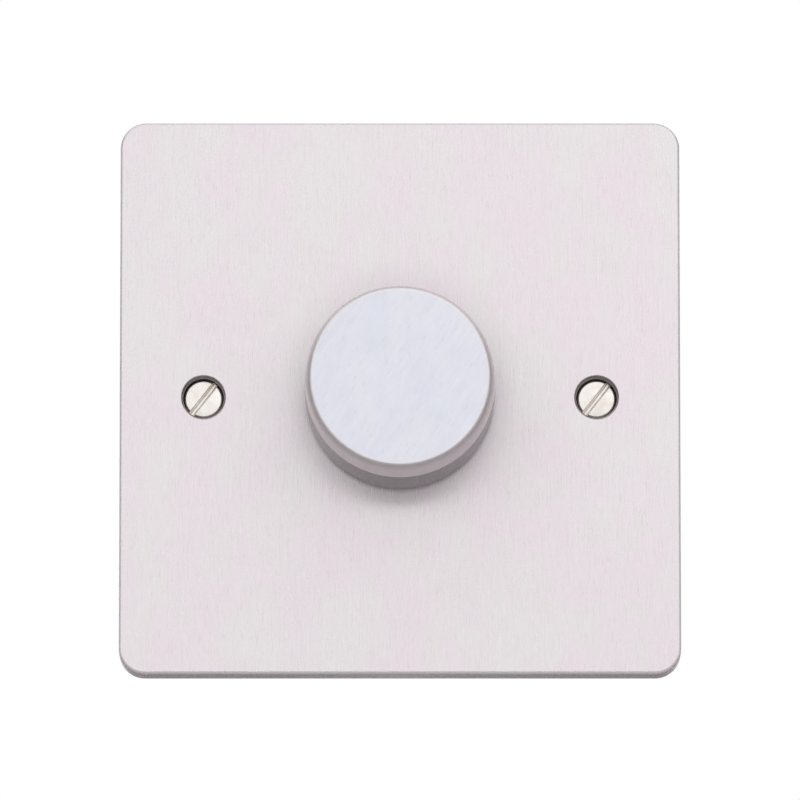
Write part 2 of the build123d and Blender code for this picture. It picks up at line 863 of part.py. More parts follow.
with BuildPart() as triac_nut:
    with BuildSketch(level(nut_front, triac_place, triac_hole_row)):
        RegularPolygon(triac_nut_across_flats / 2, 6, major_radius=False)
        Circle(small_screw_shank / 2 + running_gap, mode=Mode.SUBTRACT)
    extrude(amount=-triac_nut_thickness)
finish(triac_nut, "triac_nut")

# Insulating pad between the heat sink and the triac
with BuildPart() as insulating_pad:
    with BuildSketch(level(sink_rear, triac_place, triac_base + triac_length / 2)):
        RectangleRounded(triac_width + 2 * pad_border, triac_length + pad_border, pad_border / 2)
        with Locations((0, triac_length / 2 - triac_hole_inset)):
            Circle(triac_hole_diameter / 2, mode=Mode.SUBTRACT)
    extrude(amount=-pad_sheet)
finish(insulating_pad, "insulating_pad")

# Triac: flat moulded body on a metal back, with a hole and three legs bent down to the circuit board
with BuildPart() as triac:
    back_front = sink_rear - pad_sheet
    leg_height = back_front - triac_leg_set
    with BuildSketch(level(back_front, triac_place, triac_base + triac_length / 2)):
        Rectangle(triac_width, triac_length)
    extrude(amount=-triac_back_thickness)
    with BuildSketch(level(back_front - triac_back_thickness, triac_place, triac_base + triac_length / 2)):
        Rectangle(triac_width, triac_length)
    extrude(amount=triac_back_thickness - triac_thickness, taper=triac_draft)
    with BuildSketch(level(back_front, triac_place, triac_hole_row)):
        Circle(triac_hole_diameter / 2)
    extrude(amount=-triac_thickness, mode=Mode.SUBTRACT)
    for leg_x, _ in triac_leg_places:
        with BuildSketch(Plane.YZ.offset(leg_x)):
            with BuildLine():
                Polyline(
                    (-leg_height, triac_base + triac_leg_sheet),
                    (-leg_height, triac_leg_row),
                    (-lead_end, triac_leg_row),
                )
            trace(line_width=triac_leg_sheet)
        extrude(amount=triac_leg_width / 2, both=True)
finish(triac, "triac")

# Choke: a ring core with its winding
choke_x, choke_z = choke_place
choke_base = circuit_front + choke_stand
with BuildPart() as choke_core:
    with BuildSketch(level(choke_base, choke_x, choke_z)):
        Circle(choke_diameter / 2)
        Circle(choke_hole_diameter / 2, mode=Mode.SUBTRACT)
    extrude(amount=choke_height)
finish(choke_core, "choke_core")

with BuildPart() as choke_winding:
    ring_middle = (choke_diameter + choke_hole_diameter) / 4
    sleeve = choke_fit + choke_wire
    sleeve_turn = choke_turn_angle * (choke_turns - 1)
    lead_ring = choke_diameter / 2 + choke_fit + choke_wire / 2
    lead_start = 90 - sleeve_turn / 2 + choke_lead_inset
    lead_range = sleeve_turn - 2 * choke_lead_inset
    with BuildSketch(level(choke_base - sleeve, choke_x, choke_z)):
        ring_sector(choke_hole_diameter / 2 - sleeve, choke_diameter / 2 + sleeve, 90, sleeve_turn / 2)
    extrude(amount=choke_height + 2 * sleeve)
    with BuildSketch(level(choke_base - choke_fit, choke_x, choke_z)):
        Circle(choke_diameter / 2 + choke_fit)
        Circle(choke_hole_diameter / 2 - choke_fit, mode=Mode.SUBTRACT)
    extrude(amount=choke_height + 2 * choke_fit, mode=Mode.SUBTRACT)
    with BuildSketch(level(choke_base + choke_height + sleeve, choke_x, choke_z)):
        first_gap = 90 - sleeve_turn / 2 + choke_turn_angle / 2
        for number in range(choke_turns - 1):
            with PolarLocations(ring_middle, 1, start_angle=first_gap + number * choke_turn_angle):
                Rectangle(choke_diameter, choke_wire / 2)
    extrude(amount=-choke_wire / 2, mode=Mode.SUBTRACT)
    with BuildSketch(level(choke_base, choke_x, choke_z)):
        with PolarLocations(lead_ring, 2, lead_start, lead_range, endpoint=True):
            Circle(choke_lead_diameter / 2)
    extrude(amount=lead_end - choke_base)
finish(choke_winding, "choke_winding")

# Film capacitor and timing capacitor
with BuildPart() as film_capacitor:
    with BuildSketch(level(circuit_front, *film_capacitor_place)):
        RectangleRounded(film_capacitor_size[0], film_capacitor_size[1], box_corner)
    extrude(amount=film_capacitor_size[2])
    two_leads(film_capacitor_place, film_capacitor_pitch, circuit_front)
finish(film_capacitor, "film_capacitor")

with BuildPart() as timing_capacitor:
    with BuildSketch(level(circuit_front, *timing_capacitor_place)):
        RectangleRounded(timing_capacitor_size[0], timing_capacitor_size[1], box_corner)
    extrude(amount=timing_capacitor_size[2])
    two_leads(timing_capacitor_place, timing_capacitor_pitch, circuit_front)
finish(timing_capacitor, "timing_capacitor")

# Resistors, trigger diode and thermal fuse, lying on the circuit board
for number, place in enumerate(resistor_places, start=1):
    with BuildPart() as resistor:
        axial(place, resistor_length, resistor_diameter, resistor_pitch)
    finish(resistor, f"resistor_{number}")

with BuildPart() as trigger_diode:
    axial(diode_place, diode_length, diode_diameter, diode_pitch)
finish(trigger_diode, "trigger_diode")

with BuildPart() as thermal_fuse:
    axial(fuse_place, fuse_length, fuse_diameter, fuse_pitch)
finish(thermal_fuse, "thermal_fuse")

# Circuit board: carries all of the above, and stands on the ledges of the case
with BuildPart() as circuit_board:
    round_leads = (
        lead_places([film_capacitor_place], film_capacitor_pitch)
        + lead_places([timing_capacitor_place], timing_capacitor_pitch)
        + lead_places(resistor_places, resistor_pitch)
        + lead_places([diode_place], diode_pitch)
        + lead_places([fuse_place], fuse_pitch)
    )
    terminal_pins = lead_places(terminal_places, 2 * terminal_pin_offset)
    with BuildSketch(level(circuit_rear)):
        RectangleRounded(case_inner_width - 2 * board_gap, case_inner_height - 2 * board_gap, board_corner)
        with Locations(*post_places):
            Circle(post_diameter / 2 + board_gap, mode=Mode.SUBTRACT)
        with Locations(*round_leads):
            Circle(lead_diameter / 2 + lead_hole_gap, mode=Mode.SUBTRACT)
        with Locations(*pin_places):
            Circle(pin_diameter / 2 + lead_hole_gap, mode=Mode.SUBTRACT)
        with Locations(*triac_leg_places):
            Circle(triac_leg_width / 2 + lead_hole_gap, mode=Mode.SUBTRACT)
        with Locations(*contact_places):
            Circle(contact_pin / 2**0.5 + lead_hole_gap, mode=Mode.SUBTRACT)
        with Locations(*terminal_pins):
            Circle(terminal_pin_diameter / 2 + lead_hole_gap, mode=Mode.SUBTRACT)
        with Locations((choke_x, choke_z)):
            with PolarLocations(lead_ring, 2, lead_start, lead_range, endpoint=True):
                Circle(choke_lead_diameter / 2 + lead_hole_gap, mode=Mode.SUBTRACT)
    extrude(amount=board_thickness)
finish(circuit_board, "circuit_board")

# Terminals: three alike, soldered to the back of the board, each with a wire hole along Z
for number, (place_x, place_z) in enumerate(terminal_places, start=1):
    with BuildPart() as terminal:
        with BuildSketch(level(terminal_rear, place_x, place_z)):
            RectangleRounded(terminal_width, terminal_length, terminal_corner)
        extrude(amount=circuit_rear - terminal_rear)
        with BuildSketch(Plane.XY.offset(place_z - terminal_length / 2)):
            with Locations((place_x, -wire_height)):
                Circle(wire_hole_diameter / 2)
        extrude(amount=terminal_length, mode=Mode.SUBTRACT)
        with BuildSketch(level(terminal_rear, place_x, place_z)):
            Circle(clamp_screw_diameter / 2 + running_gap)
        extrude(amount=wire_height - terminal_rear, mode=Mode.SUBTRACT)
        with BuildSketch(level(circuit_rear, place_x, place_z)):
            with GridLocations(2 * terminal_pin_offset, 0, 2, 1):
                Circle(terminal_pin_diameter / 2)
        extrude(amount=board_thickness + lead_show / 2)
    finish(terminal, f"terminal_{number}")

# Clamp screws of the terminals: headless, slotted, wound back so that the wire holes are open
with BuildPart() as clamp_screws:
    clamp_tip = wire_height - wire_hole_diameter / 2 - clamp_screw_back_off
    clamp_end = terminal_rear - clamp_screw_show
    for place_x, place_z in terminal_places:
        with BuildSketch(level(clamp_end, place_x, place_z)):
            Circle(clamp_screw_diameter / 2)
        extrude(amount=clamp_tip - clamp_end)
    with BuildSketch(level(clamp_end)):
        with Locations(*terminal_places):
            Rectangle(2 * clamp_screw_diameter, small_slot)
    extrude(amount=clamp_screw_show, mode=Mode.SUBTRACT)
finish(clamp_screws, "clamp_screws")

# Earth terminal and its clamp screw, riveted to the tab of the heat sink
earth_rear = earth_wire_height - wire_hole_diameter / 2 - clamp_wall
with BuildPart() as earth_terminal:
    with BuildSketch(level(earth_rear, 0, earth_row)):
        RectangleRounded(earth_side, earth_side, terminal_corner)
    extrude(amount=sink_rear - earth_rear)
    with BuildSketch(level(sink_rear, 0, earth_row)):
        Circle(earth_rivet_diameter / 2)
    extrude(amount=sink_sheet)
    with BuildSketch(Plane.YZ.offset(-earth_side / 2)):
        with Locations((-earth_wire_height, earth_row)):
            Circle(wire_hole_diameter / 2)
    extrude(amount=earth_side, mode=Mode.SUBTRACT)
    with BuildSketch(level(earth_rear, 0, earth_row)):
        Circle(clamp_screw_diameter / 2 + running_gap)
    extrude(amount=earth_wire_height - earth_rear, mode=Mode.SUBTRACT)
finish(earth_terminal, "earth_terminal")

with BuildPart() as earth_screw:
    earth_screw_end = earth_rear - clamp_screw_show
    earth_tip = earth_wire_height - wire_hole_diameter / 2 - clamp_screw_back_off
    with BuildSketch(level(earth_screw_end, 0, earth_row)):
        Circle(clamp_screw_diameter / 2)
    extrude(amount=earth_tip - earth_screw_end)
    with BuildSketch(level(earth_screw_end, 0, earth_row)):
        Rectangle(2 * clamp_screw_diameter, small_slot)
    extrude(amount=clamp_screw_show, mode=Mode.SUBTRACT)
finish(earth_screw, "earth_screw")

# Module case: a box with posts, ledges, three terminal windows and barriers between the wires
with BuildPart() as module_case:
    with BuildSketch(level(case_rear)):
        RectangleRounded(case_width, case_height, case_corner)
    extrude(amount=sink_rear - case_rear)
    fillet(module_case.faces().sort_by(Axis.Y)[-1].edges(), case_rear_round)
    with BuildSketch(level(case_floor)):
        Rectangle(case_inner_width, case_inner_height)
    extrude(amount=sink_rear - case_floor, mode=Mode.SUBTRACT)
    with BuildSketch(level(case_floor)):
        with Locations(*post_places):
            Circle(post_diameter / 2)
    extrude(amount=sink_rear - case_floor)
    with BuildSketch(level(case_floor)):
        with GridLocations(case_inner_width - ledge_width, 0, 2, 1):
            Rectangle(ledge_width, ledge_length)
        with GridLocations(0, case_inner_height - ledge_width, 1, 2):
            Rectangle(ledge_length, ledge_width)
    extrude(amount=solder_room)
    barrier_top = -terminal_row + terminal_length / 2 + barrier_back_gap
    barrier_low = -case_height / 2 + case_rear_round
    with BuildSketch(level(case_rear)):
        for number in range(terminal_count + 1):
            rib_x = (number - terminal_count / 2) * terminal_pitch
            with Locations((rib_x, (barrier_top + barrier_low) / 2)):
                Rectangle(barrier_wall, barrier_top - barrier_low)
        with Locations((0, barrier_top + barrier_wall / 2)):
            Rectangle(terminal_count * terminal_pitch + barrier_wall, barrier_wall)
    extrude(amount=terminal_rear + barrier_set_down - case_rear)
    with BuildSketch(level(case_rear)):
        with Locations(*terminal_places):
            Rectangle(terminal_width + 2 * window_gap, terminal_length + 2 * window_gap)
    extrude(amount=case_wall, mode=Mode.SUBTRACT)
    with BuildSketch(level(sink_rear)):
        with Locations(*post_places):
            Circle(small_screw_shank / 2 + thread_gap)
    extrude(amount=-small_screw_length, mode=Mode.SUBTRACT)
finish(module_case, "module_case")
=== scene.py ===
"""Looks of the dimmer switch: its brushed plate and knob, its slotted screws, and the finishes of the module behind.

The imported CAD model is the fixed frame. Sizes below are in millimetres, heights are measured from the wall plane
towards the room, and every finished mesh is in metres in the same frame as the CAD.
"""

import logging
import math
from dataclasses import dataclass, field
from enum import Enum
from typing import Iterable, Optional, Sequence

import bmesh
import bpy
from mathutils import Matrix, Vector


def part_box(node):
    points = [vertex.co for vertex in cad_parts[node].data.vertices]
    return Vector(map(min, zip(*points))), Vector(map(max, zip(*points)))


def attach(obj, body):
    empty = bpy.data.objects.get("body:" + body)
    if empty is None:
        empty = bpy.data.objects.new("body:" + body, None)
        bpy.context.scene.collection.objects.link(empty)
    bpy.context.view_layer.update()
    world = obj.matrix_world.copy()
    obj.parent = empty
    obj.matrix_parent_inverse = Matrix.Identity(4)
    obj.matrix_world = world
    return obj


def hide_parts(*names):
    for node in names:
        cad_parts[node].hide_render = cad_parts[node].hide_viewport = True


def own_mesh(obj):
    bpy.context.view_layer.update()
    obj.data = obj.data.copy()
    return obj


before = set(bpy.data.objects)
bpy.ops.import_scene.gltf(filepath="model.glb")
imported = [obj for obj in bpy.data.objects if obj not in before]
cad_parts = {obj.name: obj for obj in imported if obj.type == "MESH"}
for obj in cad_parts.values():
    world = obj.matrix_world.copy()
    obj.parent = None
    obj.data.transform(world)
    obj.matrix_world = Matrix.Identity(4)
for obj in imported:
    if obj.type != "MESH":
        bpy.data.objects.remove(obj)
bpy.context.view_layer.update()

LOG = logging.getLogger("dimmer_switch")
MILLIMETRE = 0.001
# In millimetres: points this close are one point, and a point this close to a place is the one that is looked for
WELD = 1e-4
NEAR = 1e-3
# In degrees: edges with a larger angle stay sharp
SHARP = 32.0

Triple = tuple[float, float, float]
Colour = Triple
Outline = Sequence[tuple[float, float]]
Socket = bpy.types.NodeSocket
Mesh = bmesh.types.BMesh
Edge = bmesh.types.BMEdge


class Body(Enum):
    """The bodies of the CAD model that finished pieces move with."""

    BASE = "base"
    KNOB = "knob"


class Grain(Enum):
    """How the lines of a brushed surface run."""

    UPRIGHT = "upright"
    TURNED = "turned"


class Bench:
    """A material's node tree, with short calls to add and join its nodes."""

    def __init__(self, name: str) -> None:
        """Start an empty tree with one glossy shader on its output.

        Args:
            name: The finish's name.
        """
        self.material = bpy.data.materials.new(name)
        self.material.use_nodes = True
        self.tree = self.material.node_tree
        self.tree.nodes.clear()
        self.shader = self.add("ShaderNodeBsdfPrincipled")
        output = self.add("ShaderNodeOutputMaterial")
        self.tree.links.new(self.shader.outputs["BSDF"], output.inputs["Surface"])
        self.places = self.add("ShaderNodeTexCoord").outputs["Object"]

    def add(self, kind: str, **values: object) -> bpy.types.Node:
        """Add a node.

        Args:
            kind: The node's type name.
            **values: Its own settings, by attribute name.

        Returns:
            The new node.
        """
        node = self.tree.nodes.new(kind)
        for key, value in values.items():
            setattr(node, key, value)
        return node

    def join(self, source: Socket, target: Socket) -> None:
        """Join an output to an input."""
        self.tree.links.new(source, target)

    def drive(self, socket: str, source: Socket) -> None:
        """Join an output to one of the shader's own sockets."""
        self.join(source, self.shader.inputs[socket])

    def set(self, socket: str, value: object) -> None:
        """Give one of the shader's own sockets a plain value."""
        self.shader.inputs[socket].default_value = value

    def stretched(self, scale: Vector, turn: Vector = Vector((0, 0, 0))) -> Socket:
        """Turn the object's coordinates, then stretch them.

        Args:
            scale: Repeats per metre along each turned axis.
            turn: The turn about each axis, in radians.

        Returns:
            The mapped coordinates.
        """
        turned = self.add("ShaderNodeMapping")
        turned.inputs["Rotation"].default_value = turn
        self.join(self.places, turned.inputs["Vector"])
        mapped = self.add("ShaderNodeMapping")
        mapped.inputs["Scale"].default_value = scale
        self.join(turned.outputs["Vector"], mapped.inputs["Vector"])
        return mapped.outputs["Vector"]

    def noise(self, places: Socket, detail: float, rough: float) -> Socket:
        """Add a soft noise.

        Args:
            places: Where it is read. It repeats about once in each unit of them.
            detail: How many finer layers it has.
            rough: How strong those layers are.

        Returns:
            The noise's value, from 0 to 1.
        """
        node = self.add("ShaderNodeTexNoise")
        node.inputs["Scale"].default_value = 1.0
        node.inputs["Detail"].default_value = detail
        node.inputs["Roughness"].default_value = rough
        self.join(places, node.inputs["Vector"])
        return node.outputs["Fac"]

    def clouds(self, size: float, detail: float = 3.0, rough: float = 0.55, shape: Triple = (1.0, 1.0, 1.0)) -> Socket:
        """Add a soft noise with spots of one size.

        Args:
            size: The size of a spot in millimetres.
            detail: How many finer layers it has.
            rough: How strong those layers are.
            shape: How much closer the spots are along each axis.

        Returns:
            The noise's value, from 0 to 1.
        """
        return self.noise(self.stretched(Vector(shape) / (size * MILLIMETRE)), detail, rough)

    def spread(self, value: Socket, low: float, high: float, start: float = 0.3, end: float = 0.7) -> Socket:
        """Map a value from one range to another.

        Args:
            value: The value to map.
            low: The result at the range's start.
            high: The result at its end.
            start: The range's start.
            end: The range's end.

        Returns:
            The mapped value.
        """
        node = self.add("ShaderNodeMapRange")
        node.inputs["From Min"].default_value = start
        node.inputs["From Max"].default_value = end
        node.inputs["To Min"].default_value = low
        node.inputs["To Max"].default_value = high
        self.join(value, node.inputs["Value"])
        return node.outputs["Result"]

    def mix(self, share: Socket, first: object, second: object) -> Socket:
        """Mix two colours.

        Args:
            share: The share of the second one.
            first: A colour or a socket.
            second: A colour or a socket.

        Returns:
            The mixed colour.
        """
        node = self.add("ShaderNodeMix", data_type="RGBA")
        self.join(share, node.inputs["Factor"])
        for name, item in (("A", first), ("B", second)):
            socket = next(s for s in node.inputs if s.name == name and s.type == "RGBA")
            if isinstance(item, tuple):
                socket.default_value = (*item, 1.0)
            else:
                self.join(item, socket)
        return next(s for s in node.outputs if s.type == "RGBA")

    def product(self, first: Socket, second: Socket) -> Socket:
        """Multiply two values."""
        node = self.add("ShaderNodeMath", operation="MULTIPLY")
        self.join(first, node.inputs[0])
        self.join(second, node.inputs[1])
        return node.outputs["Value"]

    def bump(self, height: Socket, strength: float, depth: float) -> None:
        """Put a fine relief on the shader.

        Args:
            height: The relief's height.
            strength: How strongly it shows.
            depth: Its depth in millimetres.
        """
        node = self.add("ShaderNodeBump")
        node.inputs["Strength"].default_value = strength
        node.inputs["Distance"].default_value = depth * MILLIMETRE
        self.join(height, node.inputs["Height"])
        self.join(node.outputs["Normal"], self.shader.inputs["Normal"])


@dataclass(frozen=True)
class Finish:
    """A named finish. Each kind of finish builds its own node tree."""

    name: str
    colour: Colour
    roughness: float = 0.4

    def make(self) -> bpy.types.Material:
        """Give the finish's material, building it the first time. The CAD model has plain ones under other names."""
        label = f"{self.name}_finish"
        found = bpy.data.materials.get(label)
        if found is None:
            found = self.build()
            found.name = label
        return found

    def build(self) -> bpy.types.Material:
        """Build the node tree."""
        raise NotImplementedError

    def shade(self, factor: float, tint: Colour = (1.0, 1.0, 1.0)) -> Colour:
        """Give the finish's colour times a factor and a tint."""
        return tuple(min(1.0, c * factor * t) for c, t in zip(self.colour, tint))


@dataclass(frozen=True)
class Brushed(Finish):
    """Brushed sheet or turned metal: a fine lay, single short strokes, and faint clouds of tint."""

    grain: Grain = Grain.UPRIGHT
    angle: float = 0.0
    stroke: float = 0.16
    stroke_length: float = 12.0
    contrast: float = 0.06
    marks: float = 0.0
    mark_size: tuple[float, float] = (0.22, 2.4)
    tints: tuple[Colour, Colour] = ((1.0, 1.0, 1.0), (1.0, 1.0, 1.0))
    cloud: float = 14.0
    relief: float = 0.2
    spreading: float = 0.0
    metal: float = 1.0

    def build(self) -> bpy.types.Material:
        """Build a lay of fine lines, darker and brighter strokes on it, and slow clouds of tint.

        Returns:
            The brushed material.
        """
        bench = Bench(self.name)
        lines = bench.noise(self.along(bench, self.stroke, self.stroke_length), 2.0, 0.6)
        strokes = bench.noise(self.along(bench, *self.mark_size), 1.0, 0.5)
        cloud = bench.clouds(self.cloud, 2.0, 0.5, (1.0, 1.0, 0.6))
        tinted = bench.mix(
            bench.spread(cloud, 0.0, 1.0, 0.38, 0.62), self.shade(1.0, self.tints[0]), self.shade(1.0, self.tints[1])
        )
        laid = bench.mix(bench.spread(lines, self.contrast, 0.0, 0.3, 0.7), tinted, self.shade(0.6))
        darker = bench.mix(bench.spread(strokes, self.marks, 0.0, 0.24, 0.4), laid, self.shade(0.5))
        brighter = bench.mix(bench.spread(strokes, 0.0, self.marks, 0.62, 0.8), darker, self.shade(1.25))
        bench.drive("Base Color", brighter)
        bench.set("Metallic", self.metal)
        bench.set("Anisotropic", self.spreading)
        if self.grain is Grain.TURNED:
            round_axis = bench.add("ShaderNodeTangent", direction_type="RADIAL", axis="Y")
            bench.drive("Tangent", round_axis.outputs["Tangent"])
            bench.set("Anisotropic Rotation", 0.25)
        bench.drive("Roughness", bench.spread(lines, self.roughness + 0.05, self.roughness - 0.03))
        bench.bump(lines, self.relief, 0.01)
        return bench.material

    def along(self, bench: Bench, width: float, length: float) -> Socket:
        """Stretch the coordinates along the finish's own lay.

        Args:
            bench: The material's nodes.
            width: The width of a line in millimetres.
            length: Its length in millimetres.

        Returns:
            The stretched coordinates.
        """
        across, along = 1.0 / (width * MILLIMETRE), 1.0 / (length * MILLIMETRE)
        scale = {
            Grain.UPRIGHT: Vector((across, across, along)),
            Grain.TURNED: Vector((along, across, along)),
        }[self.grain]
        return bench.stretched(scale, Vector((0, math.radians(self.angle), 0)))


@dataclass(frozen=True)
class Plated(Finish):
    """Plated or plain metal: a smooth coat, slightly clouded, with fine handling marks."""

    tint: Colour = (1.0, 0.97, 0.9)
    cloud: float = 2.5
    grain_size: float = 0.12
    wear: float = 0.08
    relief: float = 0.12

    def build(self) -> bpy.types.Material:
        """Build a clouded coat with a light relief.

        Returns:
            The plated material.
        """
        bench = Bench(self.name)
        cloud = bench.clouds(self.cloud, 4.0, 0.6)
        fine = bench.clouds(self.grain_size, 2.0, 0.6)
        worn = self.shade(1.0 - self.wear, self.tint)
        bench.drive("Base Color", bench.mix(bench.spread(cloud, 0.0, 1.0, 0.4, 0.62), self.colour, worn))
        bench.set("Metallic", 1.0)
        bench.drive("Roughness", bench.spread(cloud, self.roughness - 0.05, self.roughness + 0.08))
        bench.bump(fine, self.relief, 0.01)
        return bench.material


@dataclass(frozen=True)
class Moulded(Finish):
    """Moulded plastic, rubber or epoxy: a fine grain, a little clouding and soft flow marks."""

    grain_size: float = 0.35
    relief: float = 0.4
    cloud: float = 9.0
    fade: float = 0.12

    def build(self) -> bpy.types.Material:
        """Build a grained skin with slow changes of tone.

        Returns:
            The moulded material.
        """
        bench = Bench(self.name)
        grain = bench.clouds(self.grain_size, 3.0, 0.65)
        cloud = bench.clouds(self.cloud, 3.0, 0.5, (1.0, 0.5, 1.0))
        tone = bench.mix(bench.spread(cloud, 0.0, 1.0), self.shade(1.0 - self.fade), self.shade(1.0 + self.fade))
        speck = bench.mix(bench.spread(grain, 0.0, 0.18, 0.5, 0.75), tone, self.shade(1.5))
        bench.drive("Base Color", speck)
        bench.drive("Roughness", bench.spread(grain, self.roughness + 0.08, self.roughness - 0.06))
        bench.bump(grain, self.relief, 0.04)
        return bench.material


@dataclass(frozen=True)
class Laminate(Finish):
    """Board laminate: the weave of its cloth under a clear skin."""

    thread: float = 0.5
    dark: float = 0.72
    cloud: float = 6.0

    def build(self) -> bpy.types.Material:
        """Build crossing threads under a glossy skin.

        Returns:
            The laminate material.
        """
        bench = Bench(self.name)
        repeats = math.pi / (self.thread * MILLIMETRE)
        waves = []
        for direction in ("X", "Z"):
            wave = bench.add("ShaderNodeTexWave", wave_type="BANDS", bands_direction=direction)
            wave.inputs["Scale"].default_value = repeats / 20.0
            wave.inputs["Distortion"].default_value = 0.6
            bench.join(bench.places, wave.inputs["Vector"])
            waves.append(wave.outputs["Fac"])
        weave = bench.product(*waves)
        cloud = bench.clouds(self.cloud)
        cloth = bench.mix(weave, self.shade(self.dark), self.colour)
        bench.drive("Base Color", bench.mix(bench.spread(cloud, 0.0, 0.5), cloth, self.shade(1.2)))
        bench.drive("Roughness", bench.spread(weave, self.roughness + 0.1, self.roughness))
        bench.bump(weave, 0.15, 0.02)
        return bench.material


@dataclass(frozen=True)
class Banded(Finish):
    """A coated part with colour rings round it, at set places along X."""

    rings: tuple[tuple[float, Colour], ...] = ()
    ring_width: float = 0.5
    cloud: float = 1.2

    def build(self) -> bpy.types.Material:
        """Build the coat and its rings.

        Returns:
            The banded material.
        """
        bench = Bench(self.name)
        apart = bench.add("ShaderNodeSeparateXYZ")
        bench.join(bench.places, apart.inputs["Vector"])
        cloud = bench.clouds(self.cloud)
        coat = bench.mix(bench.spread(cloud, 0.0, 1.0), self.shade(0.92), self.shade(1.08))
        for place, colour in self.rings:
            near = bench.add("ShaderNodeMath", operation="COMPARE")
            bench.join(apart.outputs["X"], near.inputs[0])
            near.inputs[1].default_value = place * MILLIMETRE
            near.inputs[2].default_value = self.ring_width / 2 * MILLIMETRE
            coat = bench.mix(near.outputs["Value"], coat, colour)
        bench.drive("Base Color", coat)
        bench.drive("Roughness", bench.spread(cloud, self.roughness, self.roughness + 0.1))
        bench.bump(cloud, 0.1, 0.03)
        return bench.material


PLATE_STEEL = Brushed(
    "brushed_plate", (0.755, 0.702, 0.73), 0.24, Grain.UPRIGHT, stroke=0.2, stroke_length=9.0, contrast=0.08,
    marks=0.17, tints=((1.0, 0.975, 1.0), (0.985, 1.015, 0.985)), cloud=7.0, spreading=0.8, metal=0.5, relief=0.1,
)
# The holes' straight walls: a matte punched edge. Its dark colour is painted shade of the hole.
PUNCHED_EDGE_PAINTED_SHADE = Moulded("punched_edge_painted_shade", (0.40, 0.35, 0.34), 0.5, grain_size=0.15, relief=0.2)
# The rolled lips round the screw holes: the plate's metal, darkened as painted shade of the lip's dark underside.
ROLLED_LIP_PAINTED_SHADE = Plated("rolled_lip_painted_shade", (0.42, 0.385, 0.39), 0.28, tint=(1.0, 0.98, 0.97))
KNOB_METAL = Brushed(
    "satin_knob", (0.745, 0.75, 0.815), 0.34, Grain.UPRIGHT, angle=-30.0, stroke=0.45, stroke_length=3.0,
    contrast=0.05, marks=0.12, mark_size=(0.32, 1.5), tints=((1.0, 1.0, 1.0), (0.97, 0.98, 1.0)), cloud=5.0,
)
# The knob's lip and draft: a rougher satin band of the knob metal, painted lighter than the face as a painted sheen.
KNOB_LIP_PAINTED_LIGHT = Brushed(
    "satin_knob_lip_painted_light", (0.83, 0.79, 0.81), 0.46, Grain.UPRIGHT, stroke=0.3, stroke_length=0.8, contrast=0.05, cloud=5.0,
)
# The knob's side wall: turned metal, painted dark as a painted reflection of the dark room below.
KNOB_WALL_PAINTED_SHADE = Brushed(
    "turned_knob_wall_painted_shade", (0.24, 0.222, 0.224), 0.2, Grain.TURNED, stroke=0.1, stroke_length=30.0, contrast=0.1,
    marks=0.05, mark_size=(0.1, 6.0), cloud=20.0, spreading=0.8,
)
NICKEL = Plated("nickel_plate", (0.86, 0.83, 0.81), 0.24, tint=(1.0, 0.97, 0.9))
# Inside the screw slots: the nickel darkened and warmed, a painted shade of the slot.
SLOT_METAL_PAINTED_SHADE = Plated("slot_metal_painted_shade", (0.66, 0.61, 0.57), 0.5, tint=(1.0, 0.96, 0.9))
ZINC = Plated("zinc_plate", (0.72, 0.74, 0.78), 0.3, tint=(1.02, 0.98, 0.86))
BRASS = Plated("plain_brass", (0.80, 0.62, 0.31), 0.28, tint=(1.0, 0.92, 0.78))
COPPER = Plated("copper_alloy", (0.78, 0.46, 0.30), 0.3, tint=(0.95, 0.9, 0.9))
TIN = Plated("tinned_wire", (0.76, 0.77, 0.79), 0.34)
SPRING = Plated("spring_steel", (0.42, 0.42, 0.45), 0.3, tint=(0.9, 0.95, 1.1))
SHEET = Plated("pressed_steel", (0.66, 0.66, 0.64), 0.38, cloud=6.0)
SINK = Brushed(
    "rolled_aluminium", (0.72, 0.73, 0.75), 0.4, Grain.UPRIGHT, stroke=0.3, stroke_length=25.0, contrast=0.1
)
SHAFT_METAL = Brushed(
    "turned_aluminium", (0.76, 0.76, 0.77), 0.26, Grain.TURNED, stroke=0.08, stroke_length=40.0, contrast=0.1
)
FRAME_PLASTIC = Moulded("frame_plastic", (0.060, 0.060, 0.064), 0.52, grain_size=0.3)
CASE_PLASTIC = Moulded("case_plastic", (0.024, 0.024, 0.026), 0.44, grain_size=0.4, relief=0.5)
INSERT_PLASTIC = Moulded("insert_plastic", (0.035, 0.035, 0.037), 0.4, grain_size=0.25)
SWITCH_PLASTIC = Moulded("switch_plastic", (0.78, 0.76, 0.70), 0.4, grain_size=0.3, fade=0.05)
PLUNGER_PLASTIC = Moulded("plunger_plastic", (0.32, 0.035, 0.028), 0.35, grain_size=0.2)
TRIAC_EPOXY = Moulded("triac_epoxy", (0.018, 0.018, 0.02), 0.5, grain_size=0.15, relief=0.3)
PAD_RUBBER = Moulded("pad_rubber", (0.36, 0.37, 0.40), 0.7, grain_size=0.5)
CARBON = Moulded("carbon_film", (0.012, 0.012, 0.013), 0.32, grain_size=0.08, relief=0.3)
CORE_PAINT = Moulded("core_paint", (0.62, 0.47, 0.035), 0.4, grain_size=0.6)
WIRE_ENAMEL = Plated("enamelled_wire", (0.72, 0.30, 0.12), 0.2, tint=(1.0, 0.86, 0.8), cloud=1.2)
CAPACITOR_BOX = Moulded("capacitor_box", (0.50, 0.32, 0.03), 0.36, grain_size=0.4)
CAPACITOR_DIP = Moulded("capacitor_dip", (0.34, 0.04, 0.02), 0.2, grain_size=1.4, relief=0.3)
BOARD = Laminate("board_laminate", (0.035, 0.16, 0.055), 0.3)
PHENOLIC = Laminate("phenolic_board", (0.30, 0.15, 0.055), 0.38, thread=0.8, dark=0.85)
DIODE = Banded("diode_glaze", (0.05, 0.10, 0.42), 0.2, rings=((16.6, (0.02, 0.02, 0.02)),))
